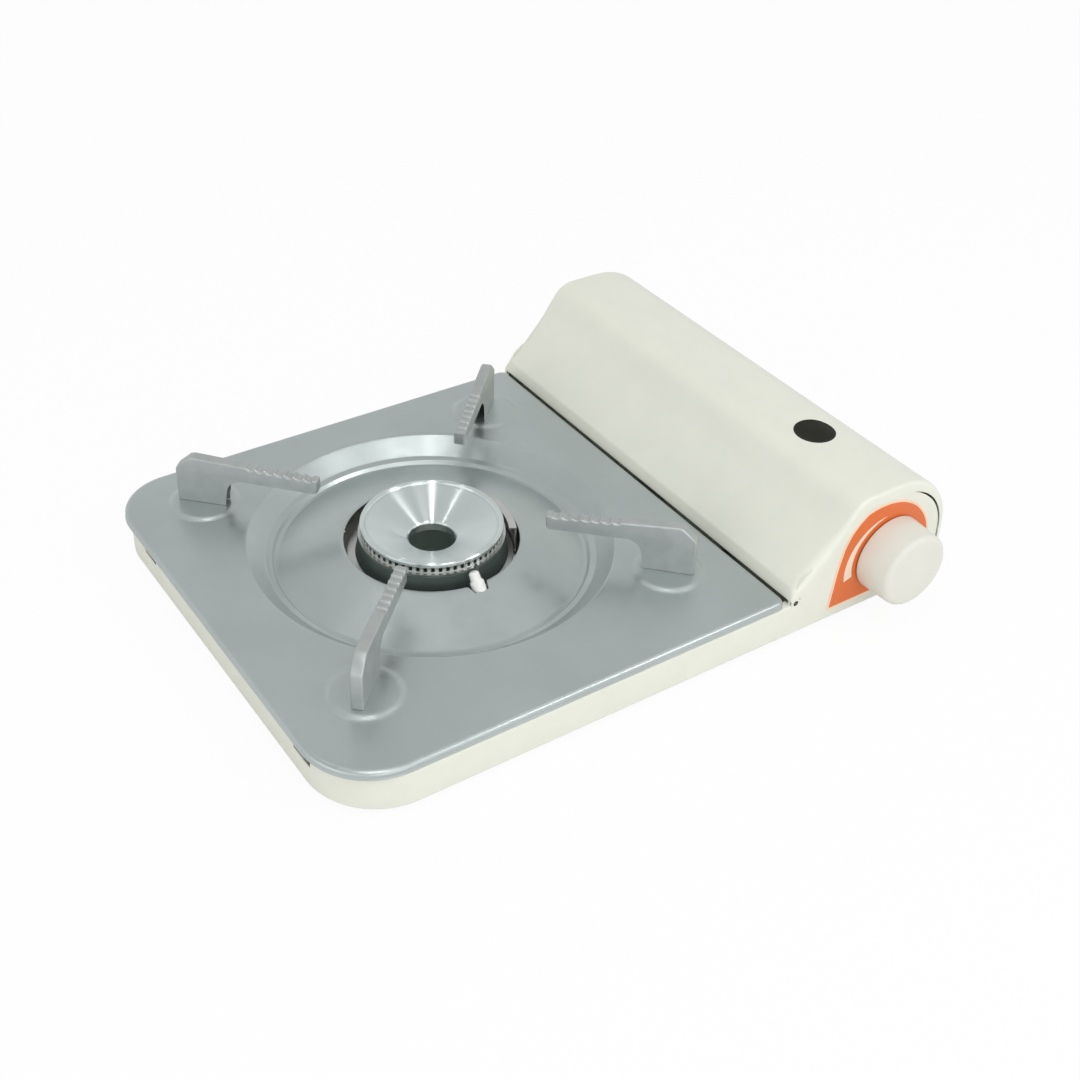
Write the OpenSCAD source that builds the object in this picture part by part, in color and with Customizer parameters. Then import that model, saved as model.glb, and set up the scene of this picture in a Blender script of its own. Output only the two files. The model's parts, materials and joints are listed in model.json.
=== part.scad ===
// Butane cassette stove: a low pressed-steel case with a lift-off top plate,
// a round burner under four pan supports, and a hinged lid over the cartridge bay.
// +X points from the burner to the cartridge bay, -Y to the front with the knob, +Z up.
// The origin is at the middle of the stove's footprint, on the surface that it stands on.

/* [Case] */
// Overall width, from the top plate's left edge to the lid's outer side
body_w = 366; // [350:1:400]
// Depth of the case, without the knob
body_d = 269; // [262:1:300]
// Height of the case wall, from its underside to the top plate's rim
case_h = 20.2; // [19:0.1:30]
// Thickness of the pressed steel of the case
case_sheet = 0.8; // [0.6:0.1:1.2]
// How far the case's left wall stands in from the top plate's edge
left_inset = 2.6; // [1.5:0.1:5]
// Radius of the two left corners of the case
case_corner_r = 38; // [25:1:45]
// Radius of the two right corners of the case
bay_corner_r = 3; // [2.5:0.5:12]
// Width of the ledge along the top of the case wall
ledge_w = 5; // [3:0.5:8]
// Width of a vent slot in the case floor
vent_w = 3; // [2:0.5:5]
// Length of a vent slot in the case floor
vent_l = 34; // [20:1:50]

/* [Top plate] */
// Width of the bay beside the top plate, which holds the cartridge
bay_w = 109.4; // [106:0.2:116]
// Depth of the top plate
plate_d = 265; // [240:1:268]
// Thickness of the top plate's sheet
plate_sheet = 0.8; // [0.6:0.1:1.2]
// Height of the folded rim
rim_h = 4.5; // [3:0.1:7]
// Radius of the front left corner of the plate
plate_front_r = 36; // [20:1:42]
// Radius of the back left corner of the plate
plate_back_r = 32; // [20:1:42]
// Radius of the two corners beside the lid
plate_bay_r = 5; // [3:0.5:12]
// Radius of the plate's edge beside the lid, which the opened lid comes down to
plate_edge_r = 2.5; // [1.5:0.1:3]
// How far the burner's axis stands to the right of the plate's middle
burner_shift = 2.7; // [0:0.1:5]
// Distance of the burner's axis from the front of the case
burner_from_front = 141; // [132:0.5:146]
// Width of the flat of the plate between the dish and the plate's nearer side
dish_margin = 27.3; // [22:0.1:34]
// Width of the dish's sloping wall
dish_wall = 13.6; // [12:0.1:16]
// Depth of the dish at the edge of its floor
dish_depth = 11.5; // [8:0.1:12]
// Gap between the burner's cap and the edge of the hole that the burner stands in
hole_gap = 9.1; // [8:0.1:12]
// Depth of the floor at the edge of that hole
hole_depth = 0.6; // [0.2:0.1:3]

/* [Pan supports] */
// Length of a support, from its inner tip to its outer end
support_l = 78.5; // [74:0.5:84]
// Distance of a support's outer end from the edge of the dish
support_out = 41.2; // [38:0.2:43]
// Height of the inner tip above the plate
support_tip_h = 25.5; // [20:0.5:30]
// Height of the outer end above the plate
support_end_h = 29.5; // [24:0.5:36]
// Width of a support
support_w = 6.4; // [5:0.1:9]
// Thickness of the support's sheet
support_sheet = 1.2; // [0.8:0.1:2]
// Number of grip notches in a support
notch_count = 7; // [4:1:9]
// Distance between grip notches
notch_pitch = 5.3; // [4:0.1:6]
// Radius of the raised round boss under a support's foot
boss_r = 18.5; // [16:0.5:22]
// Height of that boss
boss_h = 1.5; // [0.5:0.1:2.5]

/* [Burner] */
// Outer radius of the burner cap
cap_r = 37.9; // [34:0.1:38.2]
// Height of the cap's rim above the plate
cap_top = 9.7; // [8:0.1:13]
// Radius of the hole in the middle of the cap
cap_hole_r = 12.5; // [9:0.1:15]
// How far the burner cup's wall stands out past the cap
cup_out = 2.4; // [1.8:0.1:3]
// Wall thickness of the burner cup
cup_wall = 1.2; // [0.8:0.1:2]
// Number of flame ports in the ring under the cap
port_count = 60; // [40:2:72]
// Width of a flame port
port_w = 1.9; // [1:0.1:2.4]
// Outer diameter of the mixing tube
mixer_d = 10.6; // [9:0.1:10.8]
// Wall thickness of the mixing tube
mixer_wall = 0.9; // [0.6:0.1:1.2]
// Diameter of the ceramic of the electrode
ceramic_d = 6.4; // [4:0.1:7]

/* [Lid] */
// Height of the lid's flat top above the top plate
lid_top = 46.5; // [46:0.5:56]
// Thickness of the lid's sheet
lid_sheet = 0.8; // [0.6:0.1:1]
// Radius of the outer shoulder
shoulder_r = 26; // [20:1:30]
// Radius of the shoulder on the burner's side
crown_r = 16; // [12:1:18]
// Width of the lid's end flanges
flange_w = 6; // [4:0.5:8]
// Gap between the lid's flange and the case's end panel
panel_gap = 0.7; // [0.4:0.1:1.2]
// Diameter of the hinge pins
pin_d = 3; // [2.5:0.1:4]
// Diameter of the inspection window
window_d = 23; // [14:1:26]

/* [Cartridge] */
// Diameter of the gas cartridge that the bay holds
cartridge_d = 68; // [60:0.5:68]
// Length of the cartridge's body
cartridge_l = 180; // [150:1:184]
// Diameter of the cartridge's collar
collar_d = 33; // [30:0.5:36]

/* [Knob] */
// Diameter of the knob at its base
knob_d = 43.7; // [36:0.1:46]
// Diameter of the knob's face
knob_face_d = 42; // [34:0.1:44]
// How far the knob's face stands in front of the case
knob_proud = 22; // [16:0.5:28]
// Distance of the knob's axis from the lid's outer side
knob_from_side = 41.8; // [40:0.1:46]
// Height of the knob's axis above the top plate
knob_axis_h = 5.9; // [3:0.1:9]
// Turn of the knob, from off to ignition
knob_turn = 120; // [90:5:150]
// Diameter of the valve spindle
spindle_d = 6; // [5:0.1:8]
// Stroke of the igniter's plunger
plunger_stroke = 4; // [2:0.1:5]

/* [Feet] */
// Height of the feet
foot_h = 3; // [2:0.1:6]
// Diameter of the feet
foot_d = 14; // [10:0.5:20]
// Distance of a foot's centre from the left or right wall of the case
foot_inset = 30; // [26:1:40]
// Distance of a foot's centre from the front or back wall of the case
foot_inset_y = 14; // [12:1:15]

/* [Clearances] */
// Gap between a piece and the seat that it rests on
seat_gap = 0.3; // [0.2:0.05:0.4]
// Radial clearance of a turning shaft or pin
run_gap = 0.05; // [0.02:0.01:0.1]
// Gap between parts that slide or swing past each other
swing_gap = 0.5; // [0.4:0.1:1]

/* [Hidden] */
$fn = 64;

// Heights
case_bottom = foot_h;
floor_top = case_bottom + case_sheet;
wall_top = case_bottom + case_h;
plate_z = wall_top + seat_gap + rim_h;

// Plan
left_x = -body_w / 2;
right_x = body_w / 2;
front_y = -(body_d - knob_proud) / 2;
back_y = front_y + body_d;
wall_left_x = left_x + left_inset;
bay_wall_x = right_x - lid_sheet - swing_gap;
plate_right_x = right_x - bay_w;
burner_x = (left_x + plate_right_x) / 2 + burner_shift;
burner_y = front_y + burner_from_front;
axis_x = right_x - knob_from_side;
axis_z = plate_z + knob_axis_h;

// Sizes that follow the plate and the burner's cap
dish_r = plate_right_x - burner_x - dish_margin;
dish_floor_r = dish_r - dish_wall;
support_end_r = dish_r + support_out;
support_tip_r = support_end_r - support_l;
cup_r = cap_r + cup_out;
burner_hole_r = cap_r + hole_gap;

// Points along an arc in a plane, from angle a0 to a1
function arc(cx, cy, r, a0, a1, steps) =
    [for (i = [0:steps], a = a0 + (a1 - a0) * i / steps) [cx + r * cos(a), cy + r * sin(a)]];

// Outline of a rectangle with its own radius at each corner, from the front left round
function plan(x0, y0, x1, y1, r_fl, r_fr, r_br, r_bl) = concat(
    arc(x0 + r_fl, y0 + r_fl, r_fl, 180, 270, 12), arc(x1 - r_fr, y0 + r_fr, r_fr, 270, 360, 6),
    arc(x1 - r_br, y1 - r_br, r_br, 0, 90, 6), arc(x0 + r_bl, y1 - r_bl, r_bl, 90, 180, 12));

// Outline of the case at a distance in from its outer face
function case_plan(inset) = plan(wall_left_x + inset, front_y + inset, bay_wall_x - inset, back_y - inset,
    case_corner_r - inset, bay_corner_r - inset, bay_corner_r - inset, case_corner_r - inset);

// Outline of the top plate at a distance in from its outer edge
function plate_plan(inset) = plan(left_x + inset, front_y + inset, plate_right_x - inset,
    front_y + plate_d - inset, plate_front_r - inset, plate_bay_r - inset, plate_bay_r - inset,
    plate_back_r - inset);

// The lid in section, seen from the front, with x and z in the part's frame
hinge_x = plate_right_x + 6.4;
hinge_z = plate_z - 4.2;
lid_foot = [hinge_x - 2.9, plate_z];
lid_step = [hinge_x + 2.4, plate_z + 8.6];
lid_bend = [hinge_x + 24.5, plate_z + 30.2];
crown_slope = 53;
crown_z = plate_z + lid_top - crown_r;
crown_x = lid_bend[0] + (crown_z + crown_r * cos(crown_slope) - lid_bend[1]) / tan(crown_slope)
    + crown_r * sin(crown_slope);
shoulder_x = right_x - shoulder_r;
shoulder_z = plate_z + lid_top - shoulder_r;
skirt_z = wall_top - 1.5;

function unit(v) = v / norm(v);
function left_of(v) = [-v[1], v[0]];

// A point of an open path moved to the right of its run by a distance, keeping the path's corners
function shifted(p, i, d) =
    let (before = unit(p[max(i, 1)] - p[max(i, 1) - 1]),
         after = unit(p[min(i, len(p) - 2) + 1] - p[min(i, len(p) - 2)]),
         side = unit(left_of(before) + left_of(after)))
    p[i] - side * d / (side * left_of(after));
function inset_path(p, d) = [for (i = [0:len(p) - 1]) shifted(p, i, d)];

lid_path = concat([lid_foot, lid_step, lid_bend],
    arc(crown_x, crown_z, crown_r, 90 + crown_slope, 90, 8),
    arc(shoulder_x, shoulder_z, shoulder_r, 90, 0, 12), [[right_x, skirt_z]]);
function reversed(p) = [for (i = [len(p) - 1:-1:0]) p[i]];

// Turns an outline in x and z into a solid that runs along Y from y0 to y1
module along_y(y0, y1) {
    translate([0, y1, 0]) rotate([90, 0, 0]) linear_extrude(y1 - y0) children();
}

// A rod along Y
module rod_y(x, z, d, y0, y1) {
    translate([x, y1, z]) rotate([90, 0, 0]) cylinder(d = d, h = y1 - y0);
}

// A rod along X
module rod_x(y, z, d, x0, x1) {
    translate([x0, y, z]) rotate([0, 90, 0]) cylinder(d = d, h = x1 - x0);
}

// --- Case -----------------------------------------------------------------------------------

feet_x = [wall_left_x + foot_inset, bay_wall_x - foot_inset];
feet_y = [front_y + foot_inset_y, back_y - foot_inset_y];
foot_screw_d = 4;
screw_recess = 1.3;
wall_slot_l = 14;
wall_slot_h = 2.6;

// The end panel fills the end of the lid, inside its flange. The seam between them runs along
// the lid's outline, and round the outer shoulder it follows the sweep of the opening lid.
seam_r = 35;
seam_side = 3;
seam_flare = 0.8;
pin_lug_r = 3.4;
seam_path = let (inner = inset_path(lid_path, flange_w))
    concat([for (i = [0:11]) inner[i]],
        arc(right_x - seam_side - seam_r, plate_z + lid_top - flange_w - seam_r, seam_r, 90, 0, 14),
        [[right_x - seam_side + seam_flare, wall_top + seat_gap]]);
panel_path = inset_path(seam_path, panel_gap);
panel_left = lid_foot[0] + 0.6;
panel_right = panel_path[len(panel_path) - 1][0];
panel_points = concat([[panel_left, wall_top - ledge_w], [panel_left, wall_top]],
    [for (p = panel_path) if (p[1] > wall_top) p],
    [[panel_right, wall_top - 0.1], [panel_right - 2, wall_top - ledge_w]]);

module end_panel(y) {
    along_y(y, y + case_sheet) {
        polygon(panel_points);
        translate([hinge_x, hinge_z]) circle(r = pin_lug_r);
    }
}

module floor_vents() {
    for (i = [-3, -2, 2, 3], side = [-1, 1])
        translate([burner_x + (4 * i - 0.5) * vent_w, burner_y + (2.1 * side - 0.5) * vent_l,
            case_bottom - 1])
            cube([vent_w, vent_l, case_sheet + 2]);
    for (i = [-3:3])
        translate([axis_x - rail_offset + 4, burner_y + (i + 0.5) * 6 * vent_w, case_bottom - 1])
            cube([2 * rail_offset - 8, vent_w, case_sheet + 2]);
}

module base_case() {
    color("ivory") difference() {
        union() {
            translate([0, 0, case_bottom]) linear_extrude(case_sheet) polygon(case_plan(0));
            translate([0, 0, case_bottom]) linear_extrude(case_h) difference() {
                polygon(case_plan(0));
                polygon(case_plan(case_sheet));
            }
            intersection() {
                translate([0, 0, wall_top - case_sheet]) linear_extrude(case_sheet) difference() {
                    polygon(case_plan(0));
                    polygon(case_plan(ledge_w));
                }
                translate([left_x, front_y, case_bottom])
                    cube([plate_right_x - left_x + 2, body_d, case_h]);
            }
            end_panel(front_y);
            end_panel(back_y - case_sheet);
        }
        floor_vents();
        for (x = feet_x, y = feet_y)
            translate([x, y, case_bottom - 1]) cylinder(d = foot_screw_d, h = case_sheet + 2);
        rod_x(burner_y, catch_z, catch_nub_d + 0.6, bay_wall_x - case_sheet - 1, bay_wall_x + 1);
        rod_y(axis_x, axis_z, spindle_d + 3, front_y - 1, front_y + case_sheet + 1);
        rod_y(hinge_x, hinge_z, pin_d, front_y - 1, front_y + case_sheet + 1);
        rod_y(hinge_x, hinge_z, pin_d, back_y - case_sheet - 1, back_y + 1);
        for (y = [front_y + 1.3 * case_corner_r - wall_slot_l, back_y - 1.3 * case_corner_r])
            translate([wall_left_x - 1, y, wall_top - case_sheet - 1 - wall_slot_h])
                cube([case_sheet + 2, wall_slot_l, wall_slot_h]);
    }
}

module foot(x, y) {
    color("dimgray") translate([x, y, 0]) difference() {
        union() {
            cylinder(d1 = foot_d - 2, d2 = foot_d, h = foot_h - 1);
            translate([0, 0, foot_h - 1]) cylinder(d = foot_d, h = 1);
        }
        translate([0, 0, -1]) cylinder(d = foot_screw_d + 4, h = 1 + screw_recess);
        translate([0, 0, -1]) cylinder(d = foot_screw_d, h = foot_h + 2);
    }
}

module foot_1() { foot(feet_x[0], feet_y[0]); }
module foot_2() { foot(feet_x[1], feet_y[0]); }
module foot_3() { foot(feet_x[0], feet_y[1]); }
module foot_4() { foot(feet_x[1], feet_y[1]); }

module foot_screws() {
    color("silver") for (x = feet_x, y = feet_y) translate([x, y, 0]) {
        translate([0, 0, 0.3]) cylinder(d = foot_screw_d - 0.1, h = floor_top + 1.6);
        translate([0, 0, 0.3]) cylinder(d = foot_screw_d + 3, h = screw_recess - 0.35);
        translate([0, 0, floor_top + 0.05]) cylinder(d = foot_screw_d + 3, h = 1.5, $fn = 6);
    }
}

// --- Top plate ------------------------------------------------------------------------------

support_angles = [-135, -45, 45, 135];
support_foot_l = 26.9;
foot_in_r = support_end_r - support_foot_l;
boss_from_axis = (foot_in_r + support_end_r) / 2;
tab_w = 4;
tab_in_r = foot_in_r + 3;
tab_out_r = support_end_r - 3 - tab_w;
tab_gap = 0.1;

// Depth of the dish's floor at a radius
function dish_z(r) = -hole_depth
    - (dish_depth - hole_depth) * (r - burner_hole_r) / (dish_floor_r - burner_hole_r);

dish_path = [[burner_hole_r, dish_z(burner_hole_r)], [dish_floor_r - 1.5, dish_z(dish_floor_r - 1.5)],
    [dish_floor_r + 0.3, -dish_depth + 0.6], [dish_floor_r + 1.5, -dish_depth + 2.2],
    [dish_floor_r + 4, -dish_depth + 3.1], [dish_r - 5, -4.6], [dish_r - 2, -1.4], [dish_r, -0.3],
    [dish_r + 1.6, 0]];
ceramic_x = burner_x + 1;
ceramic_out = 16.5;
electrode_notch_r = cap_r + ceramic_out + 0.6;

module in_plate() {
    translate([burner_x, burner_y, plate_z]) children();
}

module tab_slots() {
    in_plate() for (a = support_angles, r = [tab_in_r, tab_out_r])
        rotate([0, 0, a]) translate([r - tab_gap, -support_w / 2 - tab_gap, -2 * plate_sheet])
            cube([tab_w + 2 * tab_gap, support_w + 2 * tab_gap, boss_h + 3 * plate_sheet]);
}

module top_plate() {
    color("lightsteelblue") difference() {
        union() {
            translate([0, 0, plate_z - plate_sheet]) linear_extrude(plate_sheet) difference() {
                polygon(plate_plan(0));
                translate([burner_x, burner_y]) circle(r = dish_r + 1.6, $fn = 128);
            }
            translate([0, 0, plate_z - rim_h]) linear_extrude(rim_h) difference() {
                polygon(plate_plan(0));
                polygon(plate_plan(plate_sheet));
            }
            along_y(front_y + plate_bay_r / 2, front_y + plate_d - plate_bay_r / 2) polygon([
                [plate_right_x - 2.5 * plate_sheet, plate_z - plate_sheet / 2],
                [plate_right_x - plate_sheet / 2, plate_z - plate_sheet / 2],
                [plate_right_x - plate_sheet / 2, plate_z - 2.5 * plate_sheet]]);
            in_plate() rotate_extrude($fn = 128) polygon(concat(dish_path,
                reversed([for (p = dish_path) [p[0], p[1] - plate_sheet]])));
            in_plate() for (a = support_angles) rotate([0, 0, a])
                translate([boss_from_axis, 0, -plate_sheet]) cylinder(r = boss_r, h = plate_sheet + boss_h);
        }
        in_plate() for (a = support_angles) rotate([0, 0, a])
            translate([boss_from_axis, 0, -2 * plate_sheet])
                cylinder(r = boss_r - plate_sheet, h = plate_sheet + boss_h);
        translate([ceramic_x - 7, burner_y - electrode_notch_r, plate_z - dish_depth])
            cube([14, electrode_notch_r - burner_hole_r + 6, dish_depth]);
        tab_slots();
        along_y(front_y - 1, back_y) difference() {
            translate([plate_right_x - plate_edge_r, plate_z - plate_edge_r]) square(2 * plate_edge_r);
            translate([plate_right_x - plate_edge_r, plate_z - plate_edge_r]) circle(r = plate_edge_r);
        }
    }
}

// --- Pan supports ---------------------------------------------------------------------------

arm_z = 17.5;
throat_r = 9;
chamfer_r = 9;
chamfer_z = 7;
foot_z = boss_h + 0.01;
// Side view of a support, with its distance from the burner and its height over the plate
support_side = concat([[support_tip_r, support_tip_h], [support_tip_r, arm_z]],
    arc(foot_in_r - 1 - throat_r, arm_z - throat_r + 1, throat_r, 90, 0, 8),
    [[foot_in_r, foot_z], [support_end_r, foot_z], [support_end_r, support_end_h - chamfer_z],
    [support_end_r - chamfer_r, support_end_h]]);
support_core = concat([[support_tip_r + support_sheet, support_tip_h - support_sheet],
    [support_tip_r + support_sheet, 0], [support_end_r - support_sheet, 0],
    [support_end_r - support_sheet, support_end_h - chamfer_z - support_sheet / 2],
    [support_end_r - chamfer_r - support_sheet / 2, support_end_h - support_sheet]]);
notch_first_r = support_tip_r + 4.8;
notch_r = 1.4;

function support_top(r) = support_tip_h
    + (support_end_h - support_tip_h) * (r - support_tip_r) / (support_end_r - chamfer_r - support_tip_r);

module pan_support(a) {
    color("silver") in_plate() rotate([0, 0, a]) difference() {
        union() {
            rotate([90, 0, 0]) linear_extrude(support_w, center = true) polygon(support_side);
            for (r = [tab_in_r, tab_out_r]) translate([r, -support_w / 2, -plate_sheet - 0.6])
                cube([tab_w, support_w, plate_sheet + 0.6 + boss_h + 1]);
        }
        rotate([90, 0, 0]) linear_extrude(support_w - 2 * support_sheet, center = true)
            polygon(support_core);
        for (r = [tab_in_r, tab_out_r])
            translate([r - 1, -support_w / 2 + support_sheet, -2])
                cube([tab_w + 2, support_w - 2 * support_sheet, 6]);
        for (i = [0:notch_count - 1], r = notch_first_r + i * notch_pitch)
            translate([r, support_w, support_top(r) + 0.5])
                rotate([90, 0, 0]) cylinder(r = notch_r, h = 2 * support_w, $fn = 24);
    }
}

module pan_support_1() { pan_support(support_angles[0]); }
module pan_support_2() { pan_support(support_angles[1]); }
module pan_support_3() { pan_support(support_angles[2]); }
module pan_support_4() { pan_support(support_angles[3]); }

// --- Burner ---------------------------------------------------------------------------------

cup_foot_z = floor_top + 1.4;
cup_bottom = cup_foot_z - plate_z;
cup_rim_z = 2.4;
port_z = 3.4;
port_h = 3.4;
ring_flange_r = cap_r + 1;
port_r = cap_r - 1;
cap_under_z = port_z + port_h + 0.01;
cup_neck_z = -6.3;
ring_t = 3;
mixer_z = floor_top + mixer_d / 2 + 0.4;

cup_waist_z = -8;

module burner_cup() {
    color("darkslategray") difference() {
        in_plate() rotate_extrude($fn = 96) polygon([
            [cap_hole_r + cup_wall, cup_bottom], [cup_r, cup_bottom], [cup_r, cup_waist_z],
            [ring_flange_r, cup_rim_z], [ring_flange_r - cup_wall, cup_rim_z],
            [cup_r - cup_wall, cup_waist_z], [cup_r - cup_wall, cup_bottom + cup_wall],
            [cap_hole_r + cup_wall, cup_bottom + cup_wall]]);
        mixer_way(cup_r - cup_wall - 4, cup_r + 4, mixer_d + 2 * run_gap);
    }
}

// The tube in the middle of the cup, which lets air rise through the burner
module burner_throat() {
    color("darkslategray") in_plate() translate([0, 0, cup_bottom]) difference() {
        cylinder(r = cap_hole_r + cup_wall - 0.01, h = cup_neck_z - cup_bottom);
        translate([0, 0, -1]) cylinder(r = cap_hole_r, h = cup_neck_z - cup_bottom + 2);
    }
}

module port_ring() {
    color("silver") in_plate() difference() {
        rotate_extrude($fn = 96) polygon([[port_r - ring_t, cup_rim_z + 0.01],
            [ring_flange_r, cup_rim_z + 0.01], [ring_flange_r, port_z], [port_r, port_z],
            [port_r, port_z + port_h], [port_r - ring_t, port_z + port_h]]);
        for (i = [0:port_count - 1]) rotate([0, 0, i * 360 / port_count])
            translate([port_r - ring_t - 1, -port_w / 2, port_z + 0.5]) cube([ring_t + 2, port_w, port_h]);
    }
}

cap_wall = 1.4;
funnel_foot = [cap_hole_r + 1, -0.4];
funnel_top = [cap_r - 2.9, cap_top - 0.7];

module burner_cap() {
    color("gainsboro") in_plate() rotate_extrude($fn = 96) polygon([
        [cap_hole_r, cup_neck_z + seat_gap], [cap_hole_r + 1.2, cup_neck_z + seat_gap],
        funnel_foot + [cap_wall / 4, -2 * cap_wall], [port_r - ring_t - 0.8, cap_under_z - 0.6],
        [port_r - ring_t - 0.4, cap_under_z], [port_r + 0.2, cap_under_z], [cap_r, cap_under_z + 0.6],
        [cap_r, cap_top - 0.6], [cap_r - 0.7, cap_top], [cap_r - 2.2, cap_top], funnel_top,
        funnel_foot, [cap_hole_r, funnel_foot[1] - 0.8]]);
}

bracket_r = cup_r + 3;
bracket_lip_r = cup_r + 4.4;
bracket_z = -9;
bracket_leg = 8;

module burner_bracket() {
    color("lightgray") in_plate() {
        translate([0, 0, bracket_z - 1]) difference() {
            union() {
                cylinder(r = bracket_r, h = 1, $fn = 96);
                intersection() {
                    cylinder(r = bracket_lip_r, h = 1, $fn = 96);
                    translate([-2 * bracket_lip_r, -bracket_lip_r, 0])
                        cube([2 * bracket_lip_r, 2 * bracket_lip_r, 1]);
                }
            }
            translate([0, 0, -1]) cylinder(r = cup_r + seat_gap, h = 3, $fn = 96);
        }
        for (a = support_angles) rotate([0, 0, a])
            translate([bracket_r - 1.5, -bracket_leg / 2, floor_top - plate_z + 0.01])
                cube([1.2, bracket_leg, bracket_z + plate_z - floor_top - 0.5]);
    }
}

// The mixing tube runs straight from the burner cup to the jet
jet_x = axis_x - 30;
jet_y = front_y + 44;
mixer_angle = atan2(jet_y - burner_y, jet_x - burner_x);
jet_from_burner = norm([jet_x - burner_x, jet_y - burner_y]);

module mixer_way(r0, r1, d) {
    translate([burner_x, burner_y, mixer_z]) rotate([0, 0, mixer_angle]) rod_x(0, 0, d, r0, r1);
}

mixer_start = cup_r - cup_wall - 2;
mixer_end = jet_from_burner - 9;
air_slot_l = 12;

module mixing_tube() {
    color("silver") translate([burner_x, burner_y, mixer_z]) rotate([0, 0, mixer_angle]) difference() {
        rod_x(0, 0, mixer_d, mixer_start, mixer_end);
        rod_x(0, 0, mixer_d - 2 * mixer_wall, mixer_start - 1, mixer_end - 1.5);
        rod_x(0, 0, jet_nose_d + 2 * run_gap, mixer_end - 4, mixer_end + 1);
        translate([mixer_end - 6 - air_slot_l, -2, -mixer_d]) cube([air_slot_l, 4, 2 * mixer_d]);
    }
}

jet_nose_d = 5;
jet_block = 9;

module gas_jet() {
    color("goldenrod") translate([burner_x, burner_y, mixer_z]) rotate([0, 0, mixer_angle]) difference() {
        union() {
            rod_x(0, 0, jet_nose_d, mixer_end - 3, mixer_end + 3);
            translate([mixer_end + 0.3, -jet_block / 2, floor_top - mixer_z + 0.2])
                cube([jet_block, jet_block, jet_block]);
        }
        rod_x(0, 0, 0.8, mixer_end - 4, mixer_end + 2);
        rod_x(0, 0, 2.4, mixer_end + 2, mixer_end + 0.3 + jet_block - 2);
    }
}

// Gas pipe from the regulator down to the jet's block
pipe_d = 4;
jet_top = [burner_x + (mixer_end + 0.3 + jet_block / 2) * cos(mixer_angle),
    burner_y + (mixer_end + 0.3 + jet_block / 2) * sin(mixer_angle), floor_top + 0.2 + jet_block];
pipe_turn_z = jet_top[2] + 6;

pipe_bend = 4;

module gas_pipe() {
    color("goldenrod") {
        translate([jet_top[0], jet_top[1], jet_top[2] + 0.01])
            cylinder(d = pipe_d, h = pipe_turn_z - pipe_bend - jet_top[2] - 0.01);
        translate([jet_top[0] + pipe_bend, jet_top[1], pipe_turn_z - pipe_bend]) rotate([90, 0, 0])
            rotate([0, 0, 90]) rotate_extrude(angle = 90)
                translate([pipe_bend, 0]) circle(d = pipe_d, $fn = 32);
        rod_x(jet_top[1], pipe_turn_z, pipe_d, jet_top[0] + pipe_bend, axis_x - regulator_d / 2 + 0.4);
    }
}

// --- Ignition -------------------------------------------------------------------------------

// The ceramic leans in over the burner's edge. Its clip stands under the dish.
clip_w = 10;
clip_t = 1;
clip_gap = 1.75;
clip_out = 5;
clip_top = plate_z + dish_z(norm([clip_w / 2, cap_r + ceramic_out + clip_out])) - plate_sheet - clip_gap;
ceramic_base = [ceramic_x, burner_y - cap_r - ceramic_out, clip_top - 3.5];
ceramic_tilt = 35;
ceramic_l = 19;

module in_ceramic() {
    translate(ceramic_base) rotate([-ceramic_tilt, 0, 0]) children();
}

module electrode_ceramic() {
    color("white") in_ceramic() difference() {
        cylinder(d = ceramic_d, h = ceramic_l);
        translate([0, 0, -1]) cylinder(d = rod_d + 2 * run_gap, h = ceramic_l + 2, $fn = 32);
    }
}

rod_d = 1.4;
rod_out = 3.4;
rod_below = 3;
module electrode_rod() {
    color("gray") in_ceramic() translate([0, 0, -rod_below])
        cylinder(d = rod_d, h = ceramic_l + rod_below + rod_out, $fn = 32);
}

clip_y = ceramic_base[1] - clip_out;
module electrode_clip() {
    color("lightgray") difference() {
        union() {
            translate([ceramic_x - clip_w / 2, clip_y, clip_top - clip_t]) cube([clip_w, 13, clip_t]);
            translate([ceramic_x - clip_w / 2, clip_y, floor_top + 0.01])
                cube([clip_w, clip_t, clip_top - floor_top - 0.01]);
            translate([ceramic_x - clip_w / 2, clip_y - 8, floor_top + 0.01]) cube([clip_w, 9, clip_t]);
        }
        in_ceramic() cylinder(d = ceramic_d + 2 * run_gap, h = 8);
        translate([ceramic_x - wire_d, clip_y - 10, floor_top - 1])
            cube([2 * wire_d, 14, ceramic_base[2] - floor_top]);
    }
}

// The igniter stands beside the spindle and its plunger rides on the spindle's cam
cam_y = front_y + 6;
cam_t = 5;
cam_low_r = 6.5;
cam_gap = 0.4;
igniter_d = 10;
plunger_d = 4;
plunger_tip_x = axis_x - cam_low_r - cam_gap;
igniter_end_x = plunger_tip_x - plunger_stroke - 4.5;
igniter_l = 28;

// Radius of the cam towards an angle, which grows while the knob turns to ignition
function cam_r(a) = a >= 180 - knob_turn - 30 && a <= 200
    ? cam_low_r + plunger_stroke * min(max(180 - a, -20), knob_turn + 30) / knob_turn
    : cam_low_r - plunger_stroke * 20 / knob_turn;

module ignition_cam() {
    color("orange") difference() {
        along_y(cam_y, cam_y + cam_t) translate([axis_x, axis_z])
            polygon([for (a = [0:5:355]) cam_r(a) * [cos(a), sin(a)]]);
        spindle_flat(cam_y - 1, cam_y + cam_t + 1, run_gap);
    }
}

module piezo_plunger() {
    color("white") {
        translate([plunger_tip_x - plunger_d / 2, cam_y + cam_t / 2, axis_z])
            sphere(d = plunger_d, $fn = 48);
        rod_x(cam_y + cam_t / 2, axis_z, plunger_d,
            igniter_end_x - plunger_stroke - 6, plunger_tip_x - plunger_d / 2);
    }
}

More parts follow.
